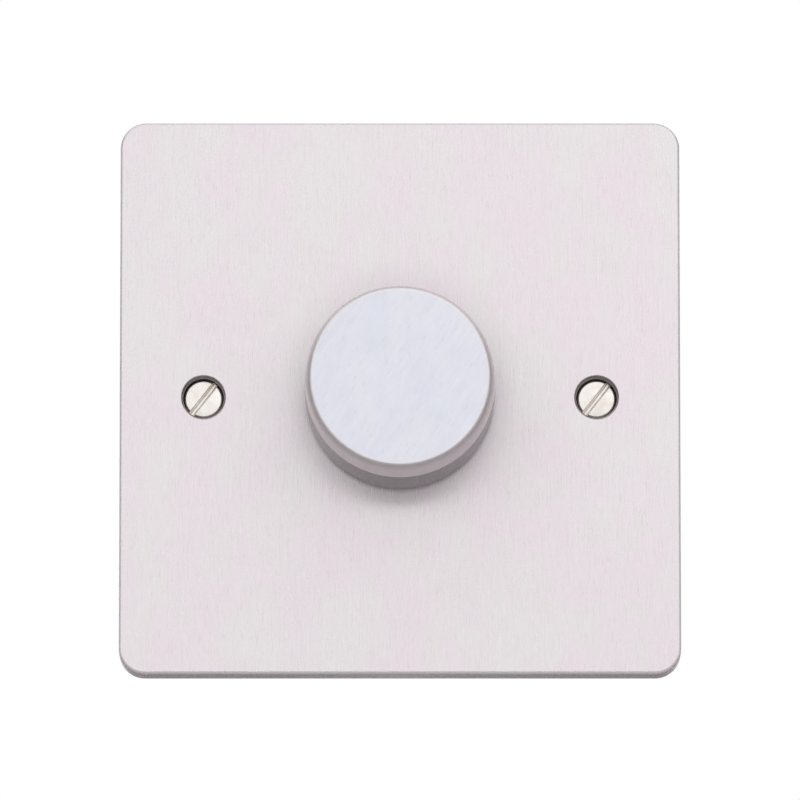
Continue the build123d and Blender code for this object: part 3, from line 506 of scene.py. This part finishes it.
RESISTOR = Banded(
    "resistor_coat", (0.62, 0.45, 0.24), 0.25,
    rings=(
        (-16.6, (0.30, 0.07, 0.02)), (-15.5, (0.02, 0.02, 0.02)), (-14.4, (0.72, 0.16, 0.02)),
        (-12.6, (0.62, 0.42, 0.06)),
    ),
)


class Shop:
    """Mesh work that several pieces share. Shapes are made in millimetres with Y into the wall."""

    STEPS = 128

    @staticmethod
    def spun(outline: Outline, steps: int = STEPS) -> Mesh:
        """Spin a closed outline of radius and height points about the Y axis.

        Args:
            outline: The points, in order.
            steps: How many steps the spin has.

        Returns:
            The mesh.
        """
        mesh = bmesh.new()
        points = [mesh.verts.new((radius, -height, 0.0)) for radius, height in outline]
        edges = [mesh.edges.new(pair) for pair in zip(points, points[1:] + points[:1])]
        bmesh.ops.spin(
            mesh, geom=points + edges, cent=(0, 0, 0), axis=(0, 1, 0), dvec=(0, 0, 0), angle=math.tau, steps=steps,
            use_merge=True, use_duplicate=False,
        )
        bmesh.ops.remove_doubles(mesh, verts=mesh.verts[:], dist=WELD)
        bmesh.ops.dissolve_degenerate(mesh, edges=mesh.edges[:], dist=WELD)
        bmesh.ops.delete(mesh, geom=[edge for edge in mesh.edges if not edge.link_faces], context="EDGES")
        return mesh

    @staticmethod
    def ring_edges(mesh: Mesh, radius: float, height: float) -> list[Edge]:
        """Find the edges of a ring.

        Args:
            mesh: The mesh to search.
            radius: The ring's radius.
            height: Its height.

        Returns:
            The ring's edges.
        """

        def lies(vertex: bmesh.types.BMVert) -> bool:
            place = vertex.co
            return abs(math.hypot(place.x, place.z) - radius) < NEAR and abs(-place.y - height) < NEAR

        return [edge for edge in mesh.edges if all(lies(vertex) for vertex in edge.verts)]

    @staticmethod
    def rounded(mesh: Mesh, edges: Iterable[Edge], offset: float, segments: int) -> None:
        """Round edges.

        Args:
            mesh: The mesh that they are in.
            edges: The edges.
            offset: How far from each edge its round starts.
            segments: How many faces the round has.
        """
        bmesh.ops.bevel(
            mesh, geom=list(edges), offset=offset, offset_type="OFFSET", segments=segments, profile=0.5,
            affect="EDGES", material=-1, clamp_overlap=True,
        )

    @staticmethod
    def finished(mesh: Mesh, name: str, finish: Finish, sharp: float = SHARP) -> bpy.types.Object:
        """Turn a mesh in millimetres into a smooth object in metres.

        Args:
            mesh: The mesh, which is freed.
            name: The piece's name.
            finish: Its finish.
            sharp: Edges with a larger angle than this stay sharp, in degrees.

        Returns:
            The new object.
        """
        bmesh.ops.remove_doubles(mesh, verts=mesh.verts[:], dist=WELD)
        bmesh.ops.recalc_face_normals(mesh, faces=mesh.faces[:])
        bmesh.ops.scale(mesh, vec=(MILLIMETRE,) * 3, verts=mesh.verts[:])
        data = bpy.data.meshes.new(name)
        mesh.to_mesh(data)
        mesh.free()
        data.shade_smooth()
        data.set_sharp_from_angle(angle=math.radians(sharp))
        data.materials.append(finish.make())
        piece = bpy.data.objects.new(name, data)
        bpy.context.scene.collection.objects.link(piece)
        LOG.info("%s: %d faces", name, len(data.polygons))
        return piece

    @staticmethod
    def flattened(piece: bpy.types.Object) -> bpy.types.Object:
        """Keep the shading of a piece's large faces flat, so that only its rounds are shaded round.

        Args:
            piece: The piece.

        Returns:
            The piece.
        """
        normals = piece.modifiers.new("flat_faces", "WEIGHTED_NORMAL")
        normals.mode = "FACE_AREA"
        normals.weight = 100
        normals.keep_sharp = True
        Shop.applied(piece)
        return piece

    @staticmethod
    def applied(piece: bpy.types.Object) -> None:
        """Apply a piece's modifiers to its mesh.

        Args:
            piece: The piece, whose mesh is replaced.
        """
        bpy.context.view_layer.update()
        shaped = bpy.data.meshes.new_from_object(piece.evaluated_get(bpy.context.evaluated_depsgraph_get()))
        piece.modifiers.clear()
        piece.data = shaped

    @staticmethod
    def cut(piece: bpy.types.Object, cutter: bpy.types.Object) -> None:
        """Take a cutter's shape out of a piece, and remove the cutter.

        Args:
            piece: The piece, whose mesh is replaced.
            cutter: The shape to take out.
        """
        tool = piece.modifiers.new("cut", "BOOLEAN")
        tool.operation = "DIFFERENCE"
        tool.solver = "EXACT"
        tool.object = cutter
        Shop.applied(piece)
        piece.data.set_sharp_from_angle(angle=math.radians(SHARP))
        bpy.data.objects.remove(cutter)

    @staticmethod
    def placed(piece: bpy.types.Object, body: Body, slot: Optional[str] = None, *nodes: str) -> bpy.types.Object:
        """Hang a piece on its body, and let it stand for CAD nodes.

        Args:
            piece: The piece.
            body: The body that it moves with.
            slot: The record's material slot, where there is one. It is not used.
            *nodes: The CAD nodes that it stands for.

        Returns:
            The piece.
        """
        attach(piece, body.value)
        if nodes:
            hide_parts(*nodes)
        return piece


@dataclass
class FacePlate:
    """The pressed tray that covers the wall box: rounded corners, a rolled edge and three holes with soft lips."""

    side: float = 86.0
    depth: float = 4.2
    sheet: float = 1.5
    corner: float = 4.0
    edge: float = 0.5
    screw_spacing: float = 60.3
    screw_hole: float = 6.3
    screw_lip: float = 0.45
    bush_hole: float = 10.3
    cell: float = 12.0
    corner_steps: int = 14
    edge_steps: int = 5
    lip_steps: int = 5
    side_cuts: int = 17

    def build(self) -> bpy.types.Object:
        """Build the tray and its holes.

        Returns:
            The plate.
        """
        mesh = bmesh.new()
        bmesh.ops.create_cube(mesh, size=1.0)
        bmesh.ops.scale(mesh, vec=(self.side, self.depth, self.side), verts=mesh.verts[:])
        bmesh.ops.translate(mesh, vec=(0, -self.depth / 2, 0), verts=mesh.verts[:])
        upright = [e for e in mesh.edges if abs(e.verts[0].co.y - e.verts[1].co.y) > self.depth / 2]
        Shop.rounded(mesh, upright, self.corner, self.corner_steps)
        front = [e for e in mesh.edges if all(abs(v.co.y + self.depth) < WELD for v in e.verts)]
        Shop.rounded(mesh, front, self.edge, self.edge_steps)
        rear = max(mesh.faces, key=lambda f: f.calc_center_median().y)
        bmesh.ops.inset_region(mesh, faces=[rear], thickness=self.sheet, use_even_offset=True)
        pressed = bmesh.ops.extrude_discrete_faces(mesh, faces=[rear])["faces"]
        bmesh.ops.translate(mesh, vec=(0, self.sheet - self.depth, 0), verts=list(pressed[0].verts))
        self.open_holes(mesh)
        piece = Shop.flattened(Shop.finished(mesh, "face_plate_sheet", PLATE_STEEL))
        # The holes' walls and lips get darker finishes, which are painted shade.
        piece.data.materials.append(PUNCHED_EDGE_PAINTED_SHADE.make())
        piece.data.materials.append(ROLLED_LIP_PAINTED_SHADE.make())
        for face in piece.data.polygons:
            face.material_index = self.finish_index(face.center / MILLIMETRE, face.normal)
        return Shop.placed(piece, Body.BASE, "brushed_plate", "face_plate")

    def finish_index(self, centre: Vector, normal: Vector) -> int:
        """Tell which finish a face has: a hole's straight wall and its rolled lip have their own darker ones, painted
        shade of the hole.

        Args:
            centre: The face's centre in millimetres.
            normal: Its normal.

        Returns:
            The finish's place in the plate's list.
        """
        reach = min(math.hypot(centre.x - place, centre.z) - radius for place, radius, _ in self.holes())
        if reach > self.screw_lip:
            return 0
        if abs(normal.y) < 0.1:
            return 1
        return 2 if abs(normal.y) < 0.9 else 0

    def holes(self) -> list[tuple[float, float, float]]:
        """Give the place along X, the radius and the lip of each hole."""
        half, radius = self.screw_spacing / 2, self.screw_hole / 2
        return [(-half, radius, self.screw_lip), (0.0, self.bush_hole / 2, 0.0), (half, radius, self.screw_lip)]

    def open_holes(self, mesh: Mesh) -> None:
        """Cut a square cell round each hole, and join it to the hole's own wall.

        Args:
            mesh: The closed tray.
        """
        inner = self.depth - self.sheet

        def level(face: bmesh.types.BMFace) -> bool:
            return min(abs(face.calc_center_median().y + height) for height in (self.depth, inner)) < WELD

        for place, _, _ in self.holes():
            for turned, axis in ((place, (1, 0, 0)), (0.0, (0, 0, 1))):
                for side in (-1, 1):
                    at = turned + side * self.cell / 2
                    point = (at, 0, 0) if axis[0] else (0, 0, at)
                    flat = [f for f in mesh.faces if level(f)]
                    geom = flat + list({e for f in flat for e in f.edges}) + list({v for f in flat for v in f.verts})
                    bmesh.ops.bisect_plane(mesh, geom=geom, dist=1e-5, plane_co=point, plane_no=axis)
        for place, radius, lip in self.holes():
            squares = [
                f for f in mesh.faces
                if level(f) and abs(f.calc_center_median().x - place) < NEAR and abs(f.calc_center_median().z) < NEAR
            ]
            sides = list({edge for face in squares for edge in face.edges})
            bmesh.ops.delete(mesh, geom=squares, context="FACES_ONLY")
            bmesh.ops.subdivide_edges(mesh, edges=sides, cuts=self.side_cuts, use_grid_fill=False)
            ring = self.grown(mesh, self.square_edges(mesh, place, self.depth), place, radius + lip, self.depth)
            for step in range(1, self.lip_steps + 1) if lip else ():
                turned = math.radians(90 / self.lip_steps * step)
                ring = self.grown(
                    mesh, ring, place, radius + lip * (1 - math.sin(turned)), self.depth - lip * (1 - math.cos(turned))
                )
            self.grown(mesh, ring, place, radius, inner)
            self.grown(mesh, self.square_edges(mesh, place, inner), place, radius, inner)

    @staticmethod
    def grown(mesh: Mesh, edges: list[Edge], place: float, radius: float, height: float) -> list[Edge]:
        """Extrude a loop of edges to a ring about a hole's axis.

        Args:
            mesh: The tray.
            edges: The loop's edges.
            place: The hole's place along X.
            radius: The new ring's radius.
            height: The new ring's height.

        Returns:
            The new ring's edges.
        """
        grown = bmesh.ops.extrude_edge_only(mesh, edges=edges)["geom"]
        points = {item for item in grown if isinstance(item, bmesh.types.BMVert)}
        for point in points:
            away = Vector((point.co.x - place, 0.0, point.co.z)).normalized() * radius
            point.co = (place + away.x, -height, away.z)
        return [item for item in grown if isinstance(item, Edge) and set(item.verts) <= points]

    def square_edges(self, mesh: Mesh, place: float, height: float) -> list[Edge]:
        """Find the edges round a hole's square cell.

        Args:
            mesh: The tray.
            place: The hole's place along X.
            height: The height of the side that the square is on.

        Returns:
            The open edges of the square.
        """

        def lies(vertex: bmesh.types.BMVert) -> bool:
            reach = max(abs(vertex.co.x - place), abs(vertex.co.z))
            return abs(reach - self.cell / 2) < NEAR and abs(vertex.co.y + height) < NEAR

        return [edge for edge in mesh.edges if edge.is_boundary and all(lies(v) for v in edge.verts)]


@dataclass
class Knob:
    """The turned metal cap: flat brushed face, soft lip, slight draft and a straight wall down to its open end."""

    face_radius: float = 13.7
    radius: float = 14.5
    height: float = 15.6
    base: float = 5.8
    lip_depth: float = 1.0
    lip_drop: float = 0.18
    draft_depth: float = 4.2
    # Where the painted-light lip band ends and the painted-shade wall starts.
    satin_and_painted_light_depth: float = 5.8
    wall: float = 1.2
    cap: float = 1.5
    face_round: float = 0.32
    lip_round: float = 0.7
    foot_round: float = 0.3
    bore_round: float = 0.15
    round_steps: int = 6
    face_normal: float = -0.999

    def build(self) -> bpy.types.Object:
        """Spin the cap, round its corners and brush its face.

        Returns:
            The knob's shell.
        """
        top = self.base + self.height
        bore = self.radius - self.wall
        lip = self.radius - self.lip_drop
        mesh = Shop.spun([
            (0.0, top), (self.face_radius, top), (lip, top - self.lip_depth), (self.radius, top - self.draft_depth),
            (self.radius, top - self.satin_and_painted_light_depth), (self.radius, self.base), (bore, self.base),
            (bore, top - self.cap), (0.0, top - self.cap),
        ])
        for radius, height, offset in (
            (self.face_radius, top, self.face_round), (lip, top - self.lip_depth, self.lip_round),
            (self.radius, self.base, self.foot_round), (bore, self.base, self.bore_round),
        ):
            Shop.rounded(mesh, Shop.ring_edges(mesh, radius, height), offset, self.round_steps)
        piece = Shop.flattened(Shop.finished(mesh, "knob_cap", KNOB_METAL))
        # The wall is painted dark and the lip painted light: painted shade and painted sheen on the one turned metal.
        piece.data.materials.append(KNOB_WALL_PAINTED_SHADE.make())
        piece.data.materials.append(KNOB_LIP_PAINTED_LIGHT.make())
        lip_end = (top - self.satin_and_painted_light_depth) * MILLIMETRE
        for face in piece.data.polygons:
            side = 2 if -face.center.y > lip_end else 1
            face.material_index = 0 if face.normal.y < self.face_normal else side
        return Shop.placed(piece, Body.KNOB, "satin_knob", "knob_shell")


@dataclass
class FixingScrews:
    """The two slotted screws that hold the plate to its box."""

    spacing: float = 60.3
    head_top: float = 2.8
    head_radius: float = 3.075
    disc_radius: float = 2.725
    rim: float = 0.2
    neck_radius: float = 1.55
    shank_radius: float = 1.75
    length: float = 25.0
    pitch: float = 0.6
    thread_depth: float = 0.3
    thread_start: float = 0.0
    thread_taper: float = 0.2
    crest: float = 0.1
    root_shift: float = 0.05
    wound_share: float = 0.98
    tip_chamfer: float = 0.8
    tip_plain: float = 0.9
    tip_room: float = 1.0
    disc_round: float = 0.08
    slot_width: float = 1.0
    slot_depth: float = 0.6
    slot_round: float = 0.48
    slot_angle: float = 52.0
    slot_steps: int = 6
    steps: int = 64

    def build(self) -> list[bpy.types.Object]:
        """Build both screws.

        Returns:
            The screws.
        """
        places = (-self.spacing / 2, self.spacing / 2)
        made = [self.one(f"fixing_screw_{number}", place) for number, place in enumerate(places, start=1)]
        return [Shop.placed(piece, Body.BASE, "nickel_screws", "fixing_screws") for piece in made]

    def one(self, name: str, place: float) -> bpy.types.Object:
        """Build a screw.

        Args:
            name: Its name.
            place: The place of its axis along X.

        Returns:
            The screw.
        """
        chamfer = self.head_radius - self.disc_radius
        cone = self.head_top - chamfer - self.rim
        cone_end = cone - (self.head_radius - self.neck_radius)
        tip = self.head_top - self.length
        outline = [
            (0.0, self.head_top), (self.disc_radius, self.head_top), (self.head_radius, self.head_top - chamfer),
            (self.head_radius, cone), (self.neck_radius, cone_end),
            (self.neck_radius, self.thread_start + self.thread_taper), (self.shank_radius, self.thread_start),
        ]
        root = self.shank_radius - self.thread_depth
        turns = int((self.thread_start - tip - self.tip_room) / self.pitch)
        for turn in range(turns):
            at = self.thread_start - turn * self.pitch
            outline += [
                (self.shank_radius, at - self.crest), (root, at - self.pitch / 2 - self.root_shift),
                (self.shank_radius, at - self.pitch),
            ]
        outline += [(self.shank_radius - self.tip_chamfer, tip), (0.0, tip)]
        mesh = Shop.spun(outline, self.steps)
        Shop.rounded(mesh, Shop.ring_edges(mesh, self.disc_radius, self.head_top), self.disc_round, 3)
        self.wind(mesh, tip)
        bmesh.ops.translate(mesh, vec=(place, 0, 0), verts=mesh.verts[:])
        piece = Shop.finished(mesh, name, NICKEL, 40.0)
        slot = bmesh.new()
        bmesh.ops.create_cube(slot, size=1.0)
        bmesh.ops.scale(slot, vec=(4 * self.head_radius, 2 * self.slot_depth, self.slot_width), verts=slot.verts[:])
        deep = [e for e in slot.edges if all(v.co.y > 0 for v in e.verts)]
        floor = [e for e in deep if abs(e.verts[0].co.x - e.verts[1].co.x) > 1]
        Shop.rounded(slot, floor, self.slot_round, self.slot_steps)
        turned = Matrix.Rotation(-math.radians(self.slot_angle), 3, "Y")
        bmesh.ops.rotate(slot, cent=(0, 0, 0), matrix=turned, verts=slot.verts[:])
        bmesh.ops.translate(slot, vec=(place, -self.head_top, 0), verts=slot.verts[:])
        # The cutter carries the slot's darker finish, a painted shade of the slot.
        Shop.cut(piece, Shop.finished(slot, "slot_cutter", SLOT_METAL_PAINTED_SHADE))
        return Shop.flattened(piece)

    def wind(self, mesh: Mesh, tip: float) -> None:
        """Slide each point of the thread along the axis with its turn, so that the rings become a thread.

        Args:
            mesh: The screw's mesh, on its own axis.
            tip: The height of its end.
        """
        for vertex in mesh.verts:
            height = -vertex.co.y
            if tip + self.tip_plain < height < self.thread_start - 0.01:
                turned = math.atan2(vertex.co.z, vertex.co.x) / math.tau
                vertex.co.y += (turned + 0.5) * self.pitch * self.wound_share - self.pitch / 2


@dataclass
class ReturnSpring:
    """The coil spring behind the switch's plunger, with closed ends. The real one shortens as the knob is pushed; this
    one is wound at one length.
    """

    radius: float = 2.2
    wire: float = 0.3
    closed_turns: float = 0.75
    open_turns: float = 2.0
    closed_pitch: float = 0.32
    travel: float = 1.2
    wire_steps: int = 12
    turn_steps: int = 32

    def build(self) -> bpy.types.Object:
        """Wind the spring from its seat towards the plunger.

        Returns:
            The spring.
        """
        low, high = (Vector(corner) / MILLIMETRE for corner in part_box("return_spring"))
        closed = self.closed_turns * self.closed_pitch
        rise = high.y - low.y - self.wire - 2 * closed
        mesh = bmesh.new()
        bmesh.ops.create_circle(mesh, cap_ends=False, segments=self.wire_steps, radius=self.wire / 2)
        bmesh.ops.translate(mesh, vec=(self.radius, high.y - self.wire / 2, 0), verts=mesh.verts[:])
        tip: list = mesh.verts[:] + mesh.edges[:]
        for turns, length in ((self.closed_turns, closed), (self.open_turns, rise), (self.closed_turns, closed)):
            steps = round(turns * self.turn_steps)
            tip = bmesh.ops.spin(
                mesh, geom=tip, cent=(0, 0, 0), axis=(0, 1, 0), dvec=(0, -length / steps, 0),
                angle=turns * math.tau, steps=steps, use_merge=False, use_duplicate=False,
            )["geom_last"]
        bmesh.ops.holes_fill(mesh, edges=[edge for edge in mesh.edges if edge.is_boundary])
        piece = Shop.finished(mesh, "return_coil", SPRING, 50.0)
        Shop.placed(piece, Body.BASE, "spring_steel", "return_spring")
        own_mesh(piece)
        return piece


class CadSmoother:
    """Smooth shading for CAD nodes, whose meshes are loose triangles and stay as they are."""

    def __init__(self, sharp: float = 28.0) -> None:
        """Build the shared node group.

        Args:
            sharp: Edges with a larger angle than this stay sharp, in degrees.
        """
        self.group = bpy.data.node_groups.new("weld_and_smooth", "GeometryNodeTree")
        self.group.interface.new_socket("Geometry", in_out="INPUT", socket_type="NodeSocketGeometry")
        self.group.interface.new_socket("Geometry", in_out="OUTPUT", socket_type="NodeSocketGeometry")
        nodes, links = self.group.nodes, self.group.links
        source, target = nodes.new("NodeGroupInput"), nodes.new("NodeGroupOutput")
        bare = nodes.new("GeometryNodeRemoveAttribute")
        bare.inputs["Name"].default_value = "custom_normal"
        weld = nodes.new("GeometryNodeMergeByDistance")
        weld.inputs["Distance"].default_value = 0.002 * MILLIMETRE
        faces = nodes.new("GeometryNodeSetShadeSmooth")
        faces.domain = "FACE"
        creases = nodes.new("GeometryNodeSetShadeSmooth")
        creases.domain = "EDGE"
        creases.inputs["Shade Smooth"].default_value = False
        angle = nodes.new("GeometryNodeInputMeshEdgeAngle")
        wide = nodes.new("FunctionNodeCompare")
        wide.operation = "GREATER_THAN"
        wide.inputs["B"].default_value = math.radians(sharp)
        chain = (source, bare, weld, faces, creases, target)
        for first, second in zip(chain, chain[1:]):
            links.new(first.outputs[0], second.inputs[0])
        links.new(angle.outputs["Unsigned Angle"], wide.inputs["A"])
        links.new(wide.outputs["Result"], creases.inputs["Selection"])

    def dress(self, node: str, finish: Finish) -> None:
        """Give a CAD node its finish and smooth shading.

        Args:
            node: The node's name.
            finish: Its finish.
        """
        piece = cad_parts[node]
        if not piece.material_slots:
            piece.data.materials.append(finish.make())
        for slot in piece.material_slots:
            slot.material = finish.make()
        smooth = piece.modifiers.new("weld_and_smooth", "NODES")
        smooth.node_group = self.group
        LOG.info("%s: %s", node, finish.name)


@dataclass
class HiddenWorks:
    """The CAD nodes behind the plate and inside the module, with their finishes."""

    finishes: dict[str, Finish] = field(default_factory=lambda: {
        "backing_frame": FRAME_PLASTIC, "module_case": CASE_PLASTIC, "heat_sink": SINK, "case_screws": ZINC,
        "knob_insert": INSERT_PLASTIC, "knob_spring_clip": SPRING, "shaft": SHAFT_METAL, "shaft_circlip": SPRING,
        "control_bush": BRASS, "lock_washer": ZINC, "bush_nut": ZINC, "control_housing": SHEET,
        "rotor": SWITCH_PLASTIC, "wiper": COPPER, "track_board": PHENOLIC, "carbon_track": CARBON, "track_pins": TIN,
        "switch_case": SWITCH_PLASTIC, "switch_plunger": PLUNGER_PLASTIC, "contact_bridge": COPPER,
        "fixed_contacts": COPPER, "triac": TRIAC_EPOXY, "triac_screw": ZINC,
        "triac_nut": ZINC, "insulating_pad": PAD_RUBBER, "choke_core": CORE_PAINT, "choke_winding": WIRE_ENAMEL,
        "film_capacitor": CAPACITOR_BOX, "timing_capacitor": CAPACITOR_DIP, "resistor_1": RESISTOR,
        "resistor_2": RESISTOR, "resistor_3": RESISTOR, "trigger_diode": DIODE, "thermal_fuse": TIN,
        "circuit_board": BOARD, "terminal_1": BRASS, "terminal_2": BRASS, "terminal_3": BRASS,
        "clamp_screws": ZINC, "earth_terminal": BRASS, "earth_screw": ZINC,
    })

    def build(self) -> None:
        """Dress every CAD node that is shown."""
        smoother = CadSmoother()
        for node, finish in self.finishes.items():
            smoother.dress(node, finish)


@dataclass(frozen=True)
class Card:
    """A flat sheet of the studio that only light and reflections see."""

    name: str
    middle: Vector
    size: tuple[float, float]
    colour: Colour
    upright: bool = False


@dataclass(frozen=True)
class Lamp:
    """A soft square lamp that shines at the object. Metal shows it only where it is mirrored."""

    name: str
    place: Vector
    size: float
    power: float
    mirrored: bool = True


@dataclass
class Studio:
    """A white sweep with soft light from the front, and cards round the object that metal reflects."""

    distance: float = 2.0
    elevation: float = -10.6
    lens: float = 586.8
    aim: Vector = field(default_factory=lambda: Vector((0.0, -0.0042, -0.0004)))
    floor_height: float = -3.0
    world_diffuse: float = 0.9
    cards: tuple[Card, ...] = (
        Card("studio_table_front", Vector((0, -2.4, -0.3)), (10.0, 5.2), (0.52, 0.50, 0.50)),
        Card("studio_table_back", Vector((0, 2.7, -0.3)), (10.0, 5.0), (0.3, 0.29, 0.295)),
        Card("studio_canopy", Vector((0, 0.75, 0.5)), (3.0, 1.4), (0.72, 0.70, 0.70)),
        Card("studio_flag_left", Vector((-1.0, -0.1, 0.3)), (1.0, 1.4), (0.45, 0.44, 0.44), True),
        Card("studio_flag_right", Vector((1.0, -0.1, 0.3)), (1.0, 1.4), (0.45, 0.44, 0.44), True),
    )
    lamps: tuple[Lamp, ...] = (
        Lamp("key_light", Vector((0.4, -1.2, 0.6)), 0.9, 0.7),
        Lamp("fill_light", Vector((-0.6, -1.3, 0.1)), 0.9, 0.4),
        Lamp("front_light", Vector((0.0, -2.4, -0.5)), 1.2, 23.0, False),
        Lamp("rear_light", Vector((0.0, 2.4, -0.5)), 1.2, 20.0, False),
    )

    def build(self) -> None:
        """Build the world, the floor, the cards, the lamps and the camera."""
        self.make_world()
        self.make_floor()
        for card in self.cards:
            self.make_card(card)
        for lamp in self.lamps:
            self.make_lamp(lamp)
        self.make_camera()
        bpy.context.scene.view_settings.view_transform = "Standard"

    def make_world(self) -> None:
        """Make the world white for what sees it straight or in a reflection, and softer for diffuse light."""
        world = bpy.data.worlds.new("studio")
        world.use_nodes = True
        nodes, links = world.node_tree.nodes, world.node_tree.links
        background = nodes["Background"]
        background.inputs["Color"].default_value = (1, 1, 1, 1)
        rays = nodes.new("ShaderNodeLightPath")
        seen = rays.outputs["Is Camera Ray"]
        for name in ("Is Glossy Ray", "Is Transmission Ray"):
            more = nodes.new("ShaderNodeMath")
            more.operation = "MAXIMUM"
            links.new(seen, more.inputs[0])
            links.new(rays.outputs[name], more.inputs[1])
            seen = more.outputs["Value"]
        strength = nodes.new("ShaderNodeMapRange")
        strength.inputs["To Min"].default_value = self.world_diffuse
        strength.inputs["To Max"].default_value = 1.0
        links.new(seen, strength.inputs["Value"])
        links.new(strength.outputs["Result"], background.inputs["Strength"])
        bpy.context.scene.world = world

    def sheet(self, card: Card) -> bpy.types.Object:
        """Make a flat sheet of the studio.

        Args:
            card: Its name, place, size and colour.

        Returns:
            The sheet.
        """
        mesh = bmesh.new()
        bmesh.ops.create_grid(mesh, x_segments=1, y_segments=1, size=0.5)
        bmesh.ops.scale(mesh, vec=(*card.size, 1.0), verts=mesh.verts[:])
        if card.upright:
            bmesh.ops.rotate(mesh, cent=(0, 0, 0), matrix=Matrix.Rotation(math.pi / 2, 3, "Y"), verts=mesh.verts[:])
        bmesh.ops.translate(mesh, vec=card.middle, verts=mesh.verts[:])
        data = bpy.data.meshes.new(card.name)
        mesh.to_mesh(data)
        mesh.free()
        bench = Bench(card.name)
        bench.set("Base Color", (*card.colour, 1.0))
        bench.set("Roughness", 0.9)
        data.materials.append(bench.material)
        piece = bpy.data.objects.new(card.name, data)
        bpy.context.scene.collection.objects.link(piece)
        return piece

    def make_card(self, card: Card) -> None:
        """Make a card that no camera sees and that casts no shadow.

        Args:
            card: The card.
        """
        piece = self.sheet(card)
        piece.visible_camera = False
        piece.visible_shadow = False

    def make_floor(self) -> None:
        """Make the pale floor, white where the camera or a reflection sees it."""
        floor = self.sheet(Card("studio_floor", Vector((0, 0, self.floor_height)), (40.0, 40.0), (0.9, 0.9, 0.9)))
        tree = floor.data.materials[0].node_tree
        nodes, links = tree.nodes, tree.links
        glow = nodes.new("ShaderNodeEmission")
        rays = nodes.new("ShaderNodeLightPath")
        blend = nodes.new("ShaderNodeMixShader")
        seen = nodes.new("ShaderNodeMath")
        seen.operation = "MAXIMUM"
        links.new(rays.outputs["Is Camera Ray"], seen.inputs[0])
        links.new(rays.outputs["Is Glossy Ray"], seen.inputs[1])
        links.new(seen.outputs["Value"], blend.inputs["Fac"])
        links.new(nodes["Principled BSDF"].outputs["BSDF"], blend.inputs[1])
        links.new(glow.outputs["Emission"], blend.inputs[2])
        links.new(blend.outputs["Shader"], nodes["Material Output"].inputs["Surface"])

    def make_lamp(self, lamp: Lamp) -> None:
        """Make a lamp, turned towards the object.

        Args:
            lamp: Its name, place, side in metres and power in watts.
        """
        light = bpy.data.lights.new(lamp.name, "AREA")
        light.shape = "SQUARE"
        light.size = lamp.size
        light.energy = lamp.power
        stand = bpy.data.objects.new(lamp.name, light)
        stand.visible_camera = False
        stand.visible_glossy = lamp.mirrored
        stand.location = lamp.place
        stand.rotation_euler = (-lamp.place).to_track_quat("-Z", "Y").to_euler()
        bpy.context.scene.collection.objects.link(stand)

    def make_camera(self) -> None:
        """Make the camera at the photograph's angle: straight in front, a little below the plate's middle."""
        camera = bpy.data.cameras.new("camera")
        camera.lens = self.lens
        camera.clip_start = 0.05
        camera.clip_end = 100.0
        stand = bpy.data.objects.new("camera", camera)
        tilt = math.radians(self.elevation)
        back = Vector((0.0, -math.cos(tilt), math.sin(tilt)))
        stand.location = self.aim + back * self.distance
        stand.rotation_euler = (-back).to_track_quat("-Z", "Y").to_euler()
        bpy.context.scene.collection.objects.link(stand)
        bpy.context.scene.camera = stand


def main() -> None:
    """Build the dimmer switch's looks and its studio, in order."""
    logging.basicConfig(level=logging.INFO, format="%(name)s: %(message)s")
    Studio().build()
    FacePlate().build()
    Knob().build()
    FixingScrews().build()
    ReturnSpring().build()
    HiddenWorks().build()


if __name__ == "__main__":
    main()
